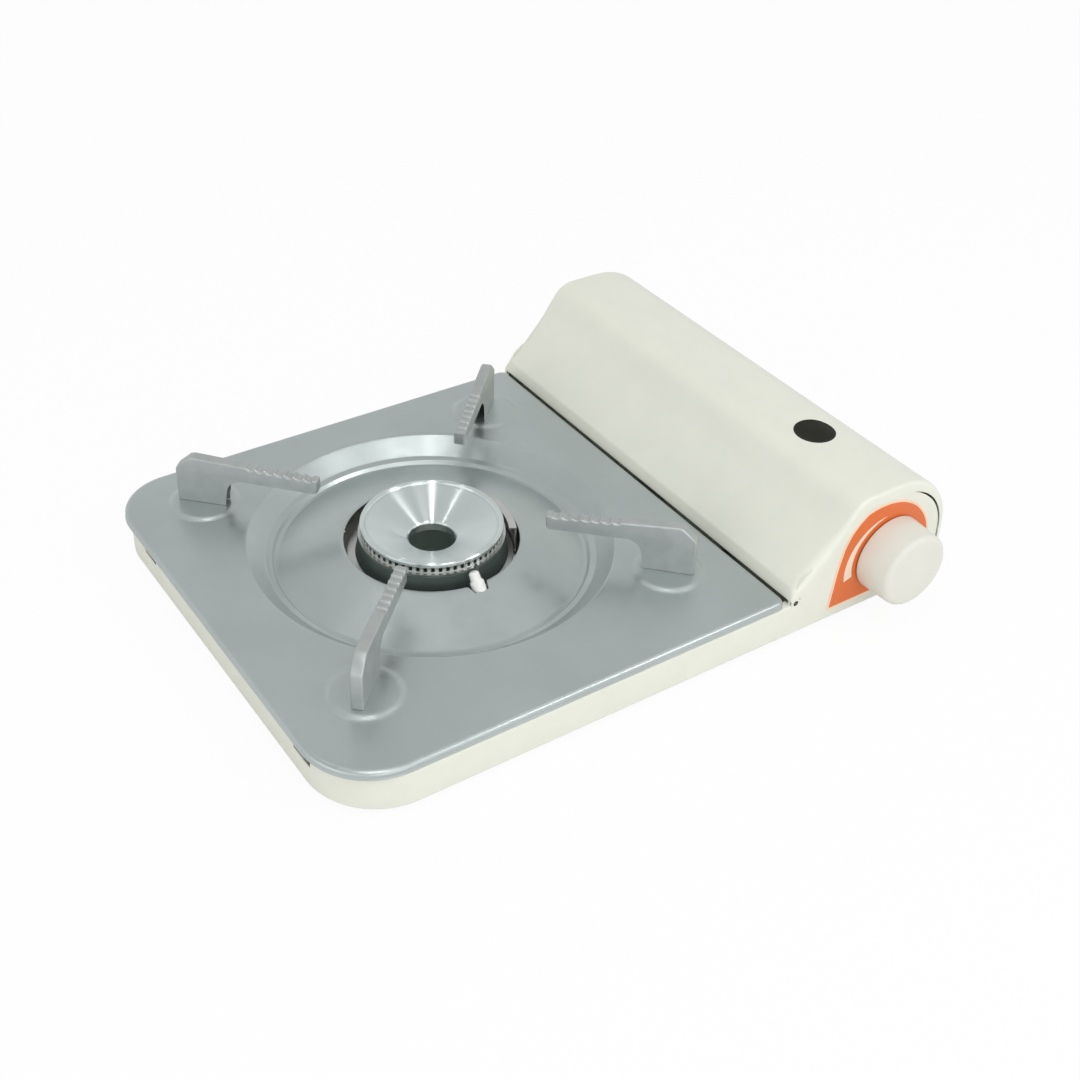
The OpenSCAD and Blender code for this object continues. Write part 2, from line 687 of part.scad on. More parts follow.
module piezo_igniter() {
    color("dimgray") difference() {
        union() {
            rod_x(cam_y + cam_t / 2, axis_z, igniter_d, igniter_end_x - igniter_l, igniter_end_x);
            translate([igniter_end_x - igniter_l + 3, front_y + case_sheet + 0.1, axis_z - 3])
                cube([igniter_l - 8, cam_y + cam_t / 2 - front_y - case_sheet, 6]);
        }
        rod_x(cam_y + cam_t / 2, axis_z, plunger_d + 2 * run_gap,
            igniter_end_x - 2 * plunger_stroke - 8, igniter_end_x + 1);
    }
}

// The ignition wire drops from the igniter to the case's floor and runs to the electrode
wire_d = 2.4;
wire_bend = 4;
wire_y = cam_y + cam_t / 2;
wire_z = floor_top + wire_d / 2 + 0.1;
wire_start_x = igniter_end_x - igniter_l;
wire_drop_x = wire_start_x - wire_bend - 2;
wire_tail = (ceramic_base[2] - wire_z - wire_bend * (1 - sin(ceramic_tilt))) / cos(ceramic_tilt);
wire_rise_y = ceramic_base[1] - wire_tail * sin(ceramic_tilt) - wire_bend * cos(ceramic_tilt);

// A bend in the wire about a centre, in the XY plane, from one angle through a turn
module bend(from, turn) {
    rotate([0, 0, from]) rotate_extrude(angle = turn, $fn = 48)
        translate([wire_bend, 0]) circle(d = wire_d, $fn = 24);
}

module ignition_wire() {
    color("black") {
        rod_x(wire_y, axis_z, wire_d, wire_drop_x + wire_bend, wire_start_x);
        translate([wire_drop_x + wire_bend, wire_y, axis_z - wire_bend]) rotate([90, 0, 0]) bend(90, 90);
        translate([wire_drop_x, wire_y, wire_z + wire_bend])
            cylinder(d = wire_d, h = axis_z - wire_z - 2 * wire_bend);
        translate([wire_drop_x - wire_bend, wire_y, wire_z + wire_bend])
            rotate([90, 0, 0]) bend(-90, 90);
        rod_x(wire_y, wire_z, wire_d, ceramic_x + wire_bend, wire_drop_x - wire_bend);
        translate([ceramic_x + wire_bend, wire_y + wire_bend, wire_z]) bend(180, 90);
        rod_y(ceramic_x, wire_z, wire_d, wire_y + wire_bend, wire_rise_y);
        translate([ceramic_x, wire_rise_y, wire_z + wire_bend])
            rotate([90, 0, 90]) bend(-90, 90 - ceramic_tilt);
        in_ceramic() translate([0, 0, -wire_tail]) cylinder(d = wire_d, h = wire_tail - rod_below - 0.02);
        in_ceramic() translate([0, 0, -wire_tail - 1]) cylinder(d = wire_d + 0.8, h = 2);
    }
}

// --- Gas train ------------------------------------------------------------------------------

regulator_d = 40;
regulator_y = front_y + 17;
regulator_l = 26;
gland_d = 14;
cover_y = regulator_y + regulator_l;
cartridge_z = floor_top + 1 + cartridge_d / 2;
spindle_clear = 2 * run_gap;
spindle_short = 8;

module spindle_flat(y0, y1, extra) {
    intersection() {
        rod_y(axis_x, axis_z, spindle_d + 2 * extra, y0, y1);
        translate([axis_x - spindle_d, y0, axis_z - spindle_d / 2 - extra])
            cube([2 * spindle_d, y1 - y0, spindle_d * 0.75 + 2 * extra]);
    }
}

module valve_spindle() {
    color("goldenrod") {
        spindle_flat(front_y - knob_proud + spindle_short, cam_y + cam_t + 1, 0);
        rod_y(axis_x, axis_z, spindle_d, cam_y + cam_t + 1, regulator_y + 9);
    }
}

module regulator_body() {
    color("silver") difference() {
        union() {
            rod_y(axis_x, cartridge_z, regulator_d, regulator_y, cover_y);
            rod_y(axis_x, axis_z, gland_d, regulator_y - 4, regulator_y + 1);
            translate([axis_x - regulator_d / 2, regulator_y + 3, floor_top + 1.2])
                cube([regulator_d, regulator_l - 6, cartridge_z - floor_top - 1.2]);
        }
        rod_y(axis_x, axis_z, spindle_d + spindle_clear, regulator_y - 5, regulator_y + 10);
        rod_x(jet_top[1], pipe_turn_z, pipe_d + 2 * run_gap,
            axis_x - regulator_d, axis_x - regulator_d / 2 + 0.5);
        rod_y(axis_x, cartridge_z, 5, cover_y - 8, cover_y + 1);
    }
}

module regulator_bracket() {
    color("lightgray") {
        translate([axis_x - regulator_d / 2 - 6, regulator_y + 2, floor_top + 0.01])
            cube([regulator_d + 12, regulator_l - 4, 1.1]);
    }
}

cover_screw_pcd = 32;
cover_screw_d = 3;
cover_t = 4;

module at_cover_screws() {
    for (a = [45:90:315])
        translate([axis_x + cover_screw_pcd / 2 * cos(a), 0, cartridge_z + cover_screw_pcd / 2 * sin(a)])
            children();
}

module regulator_cover() {
    color("darkgray") difference() {
        rod_y(axis_x, cartridge_z, regulator_d, cover_y + 0.01, cover_y + cover_t);
        rod_y(axis_x, cartridge_z, nose_d, cover_y - 1, cover_y + cover_t + 1);
        at_cover_screws() rod_y(0, 0, cover_screw_d, cover_y - 1, cover_y + cover_t + 1);
    }
}

module cover_screws() {
    color("gray") at_cover_screws()
        rod_y(0, 0, cover_screw_d - 0.2, cover_y + 0.1, cover_y + cover_t + 1.2);
}

nose_d = 10;
seal_t = 2.5;
magnet_d = 30;
magnet_t = 4;

module magnet_seat() {
    color("dimgray") difference() {
        rod_y(axis_x, cartridge_z, magnet_d, cover_y + cover_t + 1.3, cover_y + cover_t + 1.3 + magnet_t);
        rod_y(axis_x, cartridge_z, nose_d + 0.2, cover_y, cover_y + cover_t + 10);
    }
}

module inlet_seal() {
    color("black") difference() {
        rod_y(axis_x, cartridge_z, nose_d - 0.2,
            cover_y + 0.02, cover_y + cover_t + 1.3 + magnet_t + seal_t);
        rod_y(axis_x, cartridge_z, 4, cover_y - 1, cover_y + 20);
    }
}

collar_y = cover_y + cover_t + 1.3 + magnet_t + 0.5;
module guide_tab() {
    color("silver") {
        translate([axis_x - 3, cover_y + 1, cartridge_z + regulator_d / 2 + 0.1]) cube([6, 16, 1.2]);
        translate([axis_x - 1.5, cover_y + 10, cartridge_z + collar_d / 2 - 2])
            cube([3, 7, regulator_d / 2 - collar_d / 2 + 2.2]);
    }
}

rail_offset = 14;
rail_t = 3;
rail_end = 8;
bay_y0 = collar_y + 8;
module cradle_rail(side) {
    rail_top = cartridge_z - sqrt(pow(cartridge_d / 2 + seat_gap, 2) - pow(rail_offset, 2));
    color("ivory") difference() {
        translate([axis_x + side * rail_offset - rail_t / 2, bay_y0 + rail_end, floor_top + 0.01])
            cube([rail_t, cartridge_l - 2 * rail_end, rail_top - floor_top - 0.4]);
        translate([axis_x + side * rail_offset - rail_t, burner_y - strip_w / 2 - 0.5, floor_top - 1])
            cube([2 * rail_t, strip_w + 1, heat_t + 1.4]);
    }
}
module cradle_rail_left() { cradle_rail(-1); }
module cradle_rail_right() { cradle_rail(1); }

// --- Heat plate and partition ---------------------------------------------------------------

heat_t = 1;
heat_in_r = cup_r + 0.6;
heat_out_r = heat_in_r + 4;
heat_half_angle = 28;
heat_top = 3;
partition_x = hinge_x + 5;
partition_top = plate_z + 7;
partition_t = 0.8;
partition_foot = 8;
partition_end = case_sheet + 6;
strip_w = 26;
strip_past = 8;

module heat_plate() {
    color("silver") {
        in_plate() intersection() {
            union() {
                translate([0, 0, heat_top - heat_t]) difference() {
                    cylinder(r = heat_out_r, h = heat_t, $fn = 96);
                    translate([0, 0, -1]) cylinder(r = heat_in_r, h = 3, $fn = 96);
                }
                translate([0, 0, floor_top - plate_z + 0.1]) difference() {
                    cylinder(r = heat_out_r, h = heat_top - floor_top + plate_z - 0.1, $fn = 96);
                    translate([0, 0, -1]) cylinder(r = heat_out_r - heat_t, h = 2 * plate_z, $fn = 96);
                    translate([0, 0, mixer_z - floor_top]) rotate([0, 0, mixer_angle])
                        rod_x(0, 0, mixer_d + 2, cup_r, heat_out_r + 4);
                }
            }
            linear_extrude(4 * plate_z, center = true) polygon([[0, 0],
                2 * heat_out_r * [cos(-heat_half_angle), sin(-heat_half_angle)],
                2 * heat_out_r * [cos(heat_half_angle), sin(heat_half_angle)]]);
        }
        translate([burner_x + heat_out_r - heat_t, burner_y - strip_w / 2, floor_top + 0.1])
            cube([axis_x + strip_past - burner_x - heat_out_r, strip_w, heat_t]);
    }
}

module partition() {
    color("lightgray") difference() {
        union() {
            translate([partition_x, front_y + partition_end, floor_top + 0.01])
                cube([partition_t, body_d - 2 * partition_end, partition_top - floor_top]);
            translate([partition_x, front_y + partition_end, floor_top + 0.01])
                cube([partition_foot, body_d - 2 * partition_end, partition_t]);
        }
        mixer_way(cup_r + 10, mixer_end, mixer_d + 3);
        translate([partition_x - 1, burner_y - strip_w / 2 - 1, floor_top - 1])
            cube([partition_foot + 4, strip_w + 2, 4]);
        translate([partition_x - 1, wire_y - 4, floor_top - 1]) cube([partition_foot + 4, 8, 6]);
    }
}

// --- Knob -----------------------------------------------------------------------------------

knob_edge = 2.5;
knob_wall = 2;
dial_t = 0.5;
knob_back = front_y - swing_gap - dial_t;
knob_face_y = front_y - knob_proud;

module knob() {
    depth = knob_back - knob_face_y;
    color("whitesmoke") translate([axis_x, knob_back, axis_z]) rotate([90, 0, 0]) difference() {
        rotate_extrude($fn = 96) polygon(concat(
            [[0, 0], [knob_d / 2, 0], [knob_face_d / 2, depth - knob_edge]],
            arc(knob_face_d / 2 - knob_edge, depth - knob_edge, knob_edge, 0, 90, 6), [[0, depth]]));
        difference() {
            translate([0, 0, -1])
                cylinder(r = knob_face_d / 2 - knob_wall, h = depth - knob_wall + 1, $fn = 96);
            translate([0, 0, -2]) cylinder(d = spindle_d + 6, h = depth + 2);
        }
        translate([0, 0, -1]) linear_extrude(depth - spindle_short + 0.3 + 1) intersection() {
            circle(d = spindle_d + 2 * run_gap);
            translate([-spindle_d, -spindle_d / 2 - run_gap])
                square([2 * spindle_d, spindle_d * 0.75 + 2 * run_gap]);
        }
    }
}

// The coloured plate round the knob
dial_foot_z = wall_top - 14;
dial_r = 38.6;
dial_foot = [axis_x - 37.6, dial_foot_z];
dial_points = concat([dial_foot, dial_foot + [2.1, plate_z + 6 - dial_foot_z], dial_foot + [4.6, 38.2],
    dial_foot + [8.2, 46.4], dial_foot + [12.8, 51.8]],
    arc(axis_x - 7.8, plate_z + 0.4, dial_r, 108, 0, 20),
    [[axis_x + dial_r - 8.6, dial_foot_z]]);

module dial_plate() {
    color("coral") difference() {
        along_y(front_y - dial_t, front_y - 0.01) polygon(dial_points);
        rod_y(axis_x, axis_z, spindle_d + 3, front_y - 2, front_y + 1);
    }
}

// --- Lid ------------------------------------------------------------------------------------

ear_y = front_y + case_sheet + 0.5;
ear_t = 1.2;
window_x = axis_x - 2.2;
window_y = front_y + 62;

module lid_skin() {
    polygon(concat(lid_path, reversed(inset_path(lid_path, lid_sheet))));
}

// The flange stops above the hinge, where it would swing into the case
module lid_end(y) {
    along_y(y, y + lid_sheet) intersection() {
        polygon(concat(lid_path, reversed(seam_path)));
        union() {
            translate([left_x, plate_z + 1.5]) square([body_w, 4 * plate_z]);
            translate([axis_x, wall_top + seat_gap]) square([body_w, 4 * plate_z]);
        }
    }
}

module lid_ear(y) {
    ear_r = 4;
    along_y(y, y + ear_t) difference() {
        union() {
            translate([hinge_x, hinge_z]) circle(r = ear_r);
            polygon([[hinge_x - ear_r * 0.9, hinge_z], [hinge_x + ear_r, hinge_z],
                [hinge_x + 9, plate_z + 12.5], lid_step + [0.6, -0.6], lid_foot + [0.8, 0.2]]);
        }
        translate([hinge_x, hinge_z]) circle(d = pin_d + 2 * run_gap);
    }
}

module lid() {
    color("ivory") difference() {
        union() {
            along_y(front_y, back_y) lid_skin();
            lid_end(front_y);
            lid_end(back_y - lid_sheet);
            lid_ear(ear_y);
            lid_ear(2 * front_y + body_d - ear_y - ear_t);
        }
        translate([window_x, window_y, plate_z + lid_top - 5]) cylinder(d = window_d, h = 10);
    }
}

module lid_window() {
    color("black") translate([window_x, window_y, plate_z + lid_top]) {
        translate([0, 0, -lid_sheet - 0.1]) cylinder(d = window_d - 0.1, h = lid_sheet + 0.3);
        translate([0, 0, -lid_sheet - 0.9]) cylinder(d = window_d + 1, h = 0.85);
    }
}

module hinge_pin(y_out, dir) {
    y0 = min(y_out, y_out + dir * (case_sheet + 0.5 + ear_t + 1.8));
    y1 = max(y_out, y_out + dir * (case_sheet + 0.5 + ear_t + 1.8));
    head = y_out + dir * (case_sheet + 0.5 + ear_t + 0.3);
    color("silver") {
        rod_y(hinge_x, hinge_z, pin_d - 0.02, y0, y1);
        rod_y(hinge_x, hinge_z, pin_d + 2, min(head, head + dir), max(head, head + dir));
    }
}
module hinge_pin_front() { hinge_pin(front_y, 1); }
module hinge_pin_back() { hinge_pin(back_y, -1); }

// A spring leaf inside the case's right wall, with a nub that the lid's skirt snaps over
catch_w = 16;
catch_nub_d = 5;
catch_z = wall_top - catch_nub_d / 2 - 0.6;

module lid_catch() {
    color("silver") {
        translate([bay_wall_x - case_sheet - 1.01, burner_y - catch_w / 2, floor_top + 3])
            cube([1, catch_w, wall_top - floor_top - 4]);
        rod_x(burner_y, catch_z, catch_nub_d, bay_wall_x - case_sheet - 1, bay_wall_x + 0.2);
    }
}

base_case();
top_plate();
pan_support_1();
pan_support_2();
pan_support_3();
pan_support_4();
burner_cup();
burner_throat();
port_ring();
burner_cap();
burner_bracket();
mixing_tube();
gas_jet();
gas_pipe();
electrode_rod();
electrode_ceramic();
electrode_clip();
ignition_wire();
heat_plate();
partition();
cradle_rail_left();
cradle_rail_right();
regulator_body();
regulator_cover();
cover_screws();
regulator_bracket();
magnet_seat();
inlet_seal();
guide_tab();
valve_spindle();
ignition_cam();
piezo_igniter();
piezo_plunger();
knob();
dial_plate();
lid();
lid_window();
hinge_pin_front();
hinge_pin_back();
lid_catch();
foot_1();
foot_2();
foot_3();
foot_4();
foot_screws();
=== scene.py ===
"""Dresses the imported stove: pressed sheet, a spun cap, painted shell, and a plain studio."""
import json
import math

import bmesh
import bpy
from mathutils import Matrix, Vector
from mathutils.geometry import tessellate_polygon


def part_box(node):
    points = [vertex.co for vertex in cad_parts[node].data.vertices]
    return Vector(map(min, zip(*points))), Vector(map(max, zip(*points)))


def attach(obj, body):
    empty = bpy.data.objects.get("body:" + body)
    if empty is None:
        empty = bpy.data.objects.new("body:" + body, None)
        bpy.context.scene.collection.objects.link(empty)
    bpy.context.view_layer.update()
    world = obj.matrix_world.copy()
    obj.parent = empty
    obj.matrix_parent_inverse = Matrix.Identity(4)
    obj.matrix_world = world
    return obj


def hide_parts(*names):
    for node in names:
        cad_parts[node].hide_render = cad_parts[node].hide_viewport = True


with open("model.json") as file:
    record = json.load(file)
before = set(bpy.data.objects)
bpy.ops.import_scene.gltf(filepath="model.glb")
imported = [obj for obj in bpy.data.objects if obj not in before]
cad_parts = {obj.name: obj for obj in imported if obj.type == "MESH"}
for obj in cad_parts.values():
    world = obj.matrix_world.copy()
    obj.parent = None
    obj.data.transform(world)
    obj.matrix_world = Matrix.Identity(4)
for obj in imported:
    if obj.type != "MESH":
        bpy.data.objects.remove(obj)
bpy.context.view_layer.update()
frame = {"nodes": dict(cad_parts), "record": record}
NODES = frame["nodes"]


# ---------------------------------------------------------------- sizes, in millimetres

MM = 0.001


def box(node):
    """The lowest and the highest corner of a node."""
    low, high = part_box(node)
    return [v / MM for v in low], [v / MM for v in high]


def middle(node, axis):
    """The middle of a node's box along an axis, which is 0, 1 or 2."""
    low, high = box(node)
    return (low[axis] + high[axis]) / 2


(LEFT, FRONT, _), (PLATE_RIGHT, PLATE_BACK, _) = box("top_plate")
(WALL_LEFT, _, _), (WALL_RIGHT, BACK, _) = box("base_case")
RIGHT = box("lid")[1][0]
CAP_R = (box("burner_cap")[1][0] - box("burner_cap")[0][0]) / 2
BURNER_X, BURNER_Y = middle("burner_cap", 0), middle("burner_cap", 1)
AXIS_X, AXIS_Z = middle("knob", 0), middle("knob", 2)
# heights of the plate's flat face, the lid's top, the case's underside and its side walls' top
PLATE_Z, LID_TOP, CASE_Z, WALL_TOP = 28.0, 74.5, 3.0, 23.2
# where the lid turns, as (x, z), and the thickness of the painted sheet
HINGE = (80.0, 23.8)
SHEET = 0.8


# ---------------------------------------------------------------- mesh helpers

def make(name, mesh, slot, body, replaces=(), mat=None, angle=40, sheet=0.0):
    """A piece from points in millimetres. A sheet is a surface that gets its thickness inwards."""
    verts, faces = mesh
    data = bpy.data.meshes.new(name)
    data.from_pydata([(x * MM, y * MM, z * MM) for x, y, z in verts], [], faces)
    work = bmesh.new()
    work.from_mesh(data)
    bmesh.ops.remove_doubles(work, verts=work.verts, dist=0.02 * MM)
    bmesh.ops.recalc_face_normals(work, faces=work.faces)
    free_edges = [edge.index for edge in work.edges if sheet and edge.is_boundary]
    work.to_mesh(data)
    work.free()
    data.materials.append(mat or MATERIALS[slot])
    data.shade_smooth()
    data.set_sharp_from_angle(angle=math.radians(angle))
    for i in free_edges:
        data.edges[i].use_edge_sharp = True
    piece = bpy.data.objects.new(name, data)
    bpy.context.scene.collection.objects.link(piece)
    if sheet:
        shell = piece.modifiers.new("sheet", "SOLIDIFY")
        shell.thickness = sheet * MM
        shell.offset = -1
    if replaces:
        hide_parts(*replaces)
    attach(piece, body)
    return piece


def bridge(rings, closed=True):
    """Quads between rings that have the same number of points."""
    count = len(rings[0])
    faces = []
    for i in range(len(rings) - 1):
        a, b = i * count, (i + 1) * count
        for j in range(count if closed else count - 1):
            k = (j + 1) % count
            faces.append((a + j, a + k, b + k, b + j))
    return [p for ring in rings for p in ring], faces


def joined(*meshes):
    """One mesh from several."""
    verts, faces = [], []
    for more_verts, more_faces in meshes:
        first = len(verts)
        verts += more_verts
        faces += [tuple(i + first for i in face) for face in more_faces]
    return verts, faces


def flat_fill(loops, place):
    """Triangles over a flat outline and its holes, which are lists of 2-D points."""
    faces = tessellate_polygon([[Vector((x, y, 0)) for x, y in loop] for loop in loops])
    return [place(x, y) for loop in loops for x, y in loop], [tuple(face) for face in faces]


def lathe(profile, steps, place):
    """A surface of revolution from (radius, height) points, which place maps to the part's frame."""
    turns = [2 * math.pi * i / steps for i in range(steps)]
    return bridge([[place(r * math.cos(t), r * math.sin(t), h) for t in turns] for r, h in profile])


# ---------------------------------------------------------------- outlines

def smooth(t):
    """A soft step from 0 to 1, while t goes from 0 to 1."""
    t = max(0.0, min(1.0, t))
    return t * t * (3 - 2 * t)


def lerp(a, b, t):
    """The point a share t of the way from a to b."""
    return tuple(p + (q - p) * t for p, q in zip(a, b))


def height_at(x, points):
    """The height at x of a line through points whose x rises."""
    if x <= points[0][0]:
        return points[0][1]
    for (x0, y0), (x1, y1) in zip(points, points[1:]):
        if x <= x1:
            return y0 + (y1 - y0) * (x - x0) / (x1 - x0)
    return points[-1][1]


def arc(x, y, radius, start, end, steps):
    """Points of an arc, with its angles in degrees."""
    angles = [math.radians(start + (end - start) * i / steps) for i in range(steps + 1)]
    return [(x + radius * math.cos(a), y + radius * math.sin(a)) for a in angles]


def rounded(path, radii, steps=6, closed=False):
    """The path with its corners rounded. There is one radius for each point."""
    count = len(path)
    out = []
    for i, point in enumerate(path):
        if radii[i] <= 0 or (not closed and i in (0, count - 1)):
            out.append(tuple(point))
            continue
        p = Vector(point)
        a, b = Vector(path[i - 1]) - p, Vector(path[(i + 1) % count]) - p
        room = 0.48 * min(a.length, b.length)
        a.normalize()
        b.normalize()
        corner = math.acos(max(-1.0, min(1.0, a.dot(b))))
        if corner > math.pi - 0.01:
            out.append(tuple(point))
            continue
        cut = min(radii[i] / math.tan(corner / 2), room)
        centre = p + (a + b).normalized() * (cut / math.cos(corner / 2))
        s, e = p + a * cut - centre, p + b * cut - centre
        start = math.atan2(s.y, s.x)
        sweep = math.atan2(s.x * e.y - s.y * e.x, s.dot(e))
        out += arc(*centre, s.length, math.degrees(start), math.degrees(start + sweep), steps)
    return out


def filleted(corners, steps):
    """An open profile from corners that are given as (across, along, fillet radius)."""
    return rounded([(x, y) for x, y, _ in corners], [radius for _, _, radius in corners], steps)


def dense(path, step):
    """The path with more points, so that none are further apart than step."""
    out = []
    for p, q in zip(path, path[1:]):
        count = max(1, math.ceil(math.dist(p, q) / step))
        out += [lerp(p, q, i / count) for i in range(count)]
    return out + [path[-1]]


def offset_path(path, d):
    """An open path moved to its right by d, keeping its corners."""
    out = []
    last = len(path) - 1
    for i, point in enumerate(path):
        a = (Vector(path[max(i, 1)]) - Vector(path[max(i, 1) - 1])).normalized()
        b = (Vector(path[min(i, last - 1) + 1]) - Vector(path[min(i, last - 1)])).normalized()
        side = Vector((a.y + b.y, -a.x - b.x)).normalized()
        out.append(tuple(Vector(point) + side * (d / max(side.dot(Vector((b.y, -b.x))), 0.3))))
    return out


def inset(outline, d):
    """A closed outline moved inwards by d."""
    area = sum(p[0] * q[1] - q[0] * p[1] for p, q in zip(outline[-1:] + outline[:-1], outline))
    turn = math.copysign(d, area)
    out = []
    for p, q, r in zip(outline[-1:] + outline[:-1], outline, outline[1:] + outline[:1]):
        a = (Vector(q) - Vector(p)).normalized()
        b = (Vector(r) - Vector(q)).normalized()
        out.append(tuple(Vector(q) + Vector((-a.y - b.y, a.x + b.x)).normalized() * turn))
    return out


# steps round a plan's wide left corners and its tight right ones, and the least radius that is left of one
WIDE_STEPS, TIGHT_STEPS = 24, 8
LEAST_R = 0.3


def plan(left, front, right, back, radii, inner=0.0):
    """A rectangle moved inwards, anticlockwise from its front left corner, with a radius for each corner."""
    fl, fr, br, bl = [max(r - inner, LEAST_R) for r in radii]
    x0, y0, x1, y1 = left + inner, front + inner, right - inner, back - inner
    out = arc(x0 + fl, y0 + fl, fl, 180, 270, WIDE_STEPS)
    out += arc(x1 - fr, y0 + fr, fr, 270, 360, TIGHT_STEPS)
    out += arc(x1 - br, y1 - br, br, 0, 90, TIGHT_STEPS)
    return out + arc(x0 + bl, y1 - bl, bl, 90, 180, WIDE_STEPS)


# ---------------------------------------------------------------- materials

# how fine the changes in roughness and the slow waves in a surface are, as noise scales
ROUGH_SCALE, WAVE_SCALE = 180.0, 14.0


def noise(tree, vector, scale, detail):
    """The output of a noise texture."""
    node = tree.nodes.new("ShaderNodeTexNoise")
    node.inputs["Scale"].default_value = scale
    node.inputs["Detail"].default_value = detail
    tree.links.new(vector, node.inputs["Vector"])
    return node.outputs["Fac"]


def bump(tree, height, depth, under=None):
    """A bump of so many millimetres, over another one if there is one."""
    node = tree.nodes.new("ShaderNodeBump")
    node.inputs["Strength"].default_value = 1.0
    node.inputs["Distance"].default_value = depth * MM
    tree.links.new(height, node.inputs["Height"])
    if under:
        tree.links.new(under, node.inputs["Normal"])
    return node.outputs["Normal"]


def material(name, color, rough, metal=0.0, tone=0.03, tone_scale=60.0, rough_var=0.05,
             grain=0.0, grain_scale=900.0, wave=0.0, coat=0.0, gloss=0.5, turned=False):
    """A finish whose colour and roughness vary a little, with a fine grain and a slow wave in its surface."""
    mat = bpy.data.materials.new(name)
    mat.use_nodes = True
    tree = mat.node_tree
    shader = tree.nodes["Principled BSDF"]
    shader.inputs["Metallic"].default_value = metal
    shader.inputs["Specular IOR Level"].default_value = gloss
    shader.inputs["Coat Weight"].default_value = coat
    shader.inputs["Coat Roughness"].default_value = 0.15
    place = tree.nodes.new("ShaderNodeTexCoord").outputs["Object"]
    ramp = tree.nodes.new("ShaderNodeValToRGB")
    for stop, position, sign in zip(ramp.color_ramp.elements, (0.35, 0.65), (-1, 1)):
        stop.position = position
        stop.color = (*[min(1.0, c * (1 + sign * tone)) for c in color], 1)
    tree.links.new(noise(tree, place, tone_scale, 4), ramp.inputs["Fac"])
    tree.links.new(ramp.outputs["Color"], shader.inputs["Base Color"])
    level = tree.nodes.new("ShaderNodeMapRange")
    level.inputs["From Min"].default_value = 0.3
    level.inputs["From Max"].default_value = 0.7
    level.inputs["To Min"].default_value = max(0.02, rough - rough_var)
    level.inputs["To Max"].default_value = rough + rough_var
    tree.links.new(noise(tree, place, ROUGH_SCALE, 3), level.inputs["Value"])
    tree.links.new(level.outputs["Result"], shader.inputs["Roughness"])
    normal = None
    if grain:
        normal = bump(tree, noise(tree, place, grain_scale, 2), grain)
    if wave:
        normal = bump(tree, noise(tree, place, WAVE_SCALE, 1), wave, normal)
    if normal:
        tree.links.new(normal, shader.inputs["Normal"])
    if turned:
        # grooves round the axis spread a highlight along the radius
        groove = tree.nodes.new("ShaderNodeTangent")
        groove.direction_type = "RADIAL"
        groove.axis = "Z"
        tree.links.new(groove.outputs["Tangent"], shader.inputs["Tangent"])
        shader.inputs["Anisotropic"].default_value = 1.0
        shader.inputs["Anisotropic Rotation"].default_value = 0.25
    return mat


MATERIALS = {
    "case_paint": material(
        "cream_paint", (0.77, 0.785, 0.69), 0.36,
        tone=0.012, grain=0.006, grain_scale=1400, wave=0.12, coat=0.25),
    "plate_steel": material(
        "plate_silver", (0.50, 0.555, 0.55), 0.34,
        metal=0.85, tone=0.03, tone_scale=26, grain=0.008, grain_scale=1600, wave=0.3),
    "support_steel": material(
        "support_silver", (0.46, 0.49, 0.485), 0.44,
        metal=0.7, tone=0.05, tone_scale=120, grain=0.012, grain_scale=1500, rough_var=0.07),
    "cup_enamel": material(
        "cup_enamel", (0.125, 0.165, 0.15), 0.38, metal=0.5, tone=0.10, grain=0.015),
    "cap_aluminium": material(
        "cap_aluminium", (0.73, 0.80, 0.79), 0.24, metal=1.0, tone=0.015, rough_var=0.01, turned=True),
    "zinc_steel": material(
        "zinc_steel", (0.62, 0.64, 0.62), 0.34, metal=0.95, tone=0.06, grain=0.006),
    "brass": material(
        "brass", (0.74, 0.56, 0.27), 0.30, metal=1.0, tone=0.06, grain=0.004),
    "ceramic": material(
        "ceramic", (0.86, 0.87, 0.84), 0.22, tone=0.02, grain=0.004, coat=0.4),
    "wire_sheath": material(
        "wire_sheath", (0.03, 0.03, 0.03), 0.5, tone=0.2, grain=0.01),
    "die_cast": material(
        "die_cast", (0.60, 0.61, 0.59), 0.42, metal=0.9, tone=0.07, grain=0.03, grain_scale=700),
    "black_rubber": material(
        "black_rubber", (0.035, 0.035, 0.035), 0.7, tone=0.2, grain=0.03, grain_scale=800),
    "magnet": material(
        "magnet", (0.06, 0.06, 0.06), 0.45, metal=0.6, tone=0.15, grain=0.02),
    "igniter_plastic": material(
        "igniter_plastic", (0.05, 0.05, 0.055), 0.42, tone=0.1, grain=0.01),
    "white_plastic": material(
        "white_plastic", (0.80, 0.80, 0.76), 0.4, tone=0.02, grain=0.01),
    "knob_plastic": material(
        "knob_plastic", (0.73, 0.73, 0.66), 0.38, tone=0.01, grain=0.006, grain_scale=1800),
    "dial_orange": material(
        "dial_orange", (0.74, 0.155, 0.028), 0.4, tone=0.03, grain=0.006),
    # black for the disc over the lid's hole: painted shade that stands in for the dark inside of the hole
    "window_black": material(
        "window_black", (0.013, 0.014, 0.008), 0.12, tone=0.2, gloss=0.1),
}
BORDER = material("dial_border", (0.93, 0.64, 0.46), 0.4, tone=0.02, grain=0.006)
MARK = material("dial_mark", (0.88, 0.72, 0.57), 0.4, tone=0.02, grain=0.006)
DULL_WIRE = material("dull_wire", (0.09, 0.095, 0.09), 0.45, metal=0.6, tone=0.1, grain=0.006)

for part in frame["record"]["subparts"]:
    slots = NODES[part["node"]].data.materials
    slots.clear()
    slots.append(DULL_WIRE if part["node"] == "electrode_rod" else MATERIALS[part["material_slot"]])


# ---------------------------------------------------------------- top plate

PLATE_RADII = (36, 5, 5, 32)
HOLE_R, DISH_R = 46.6, 106.0
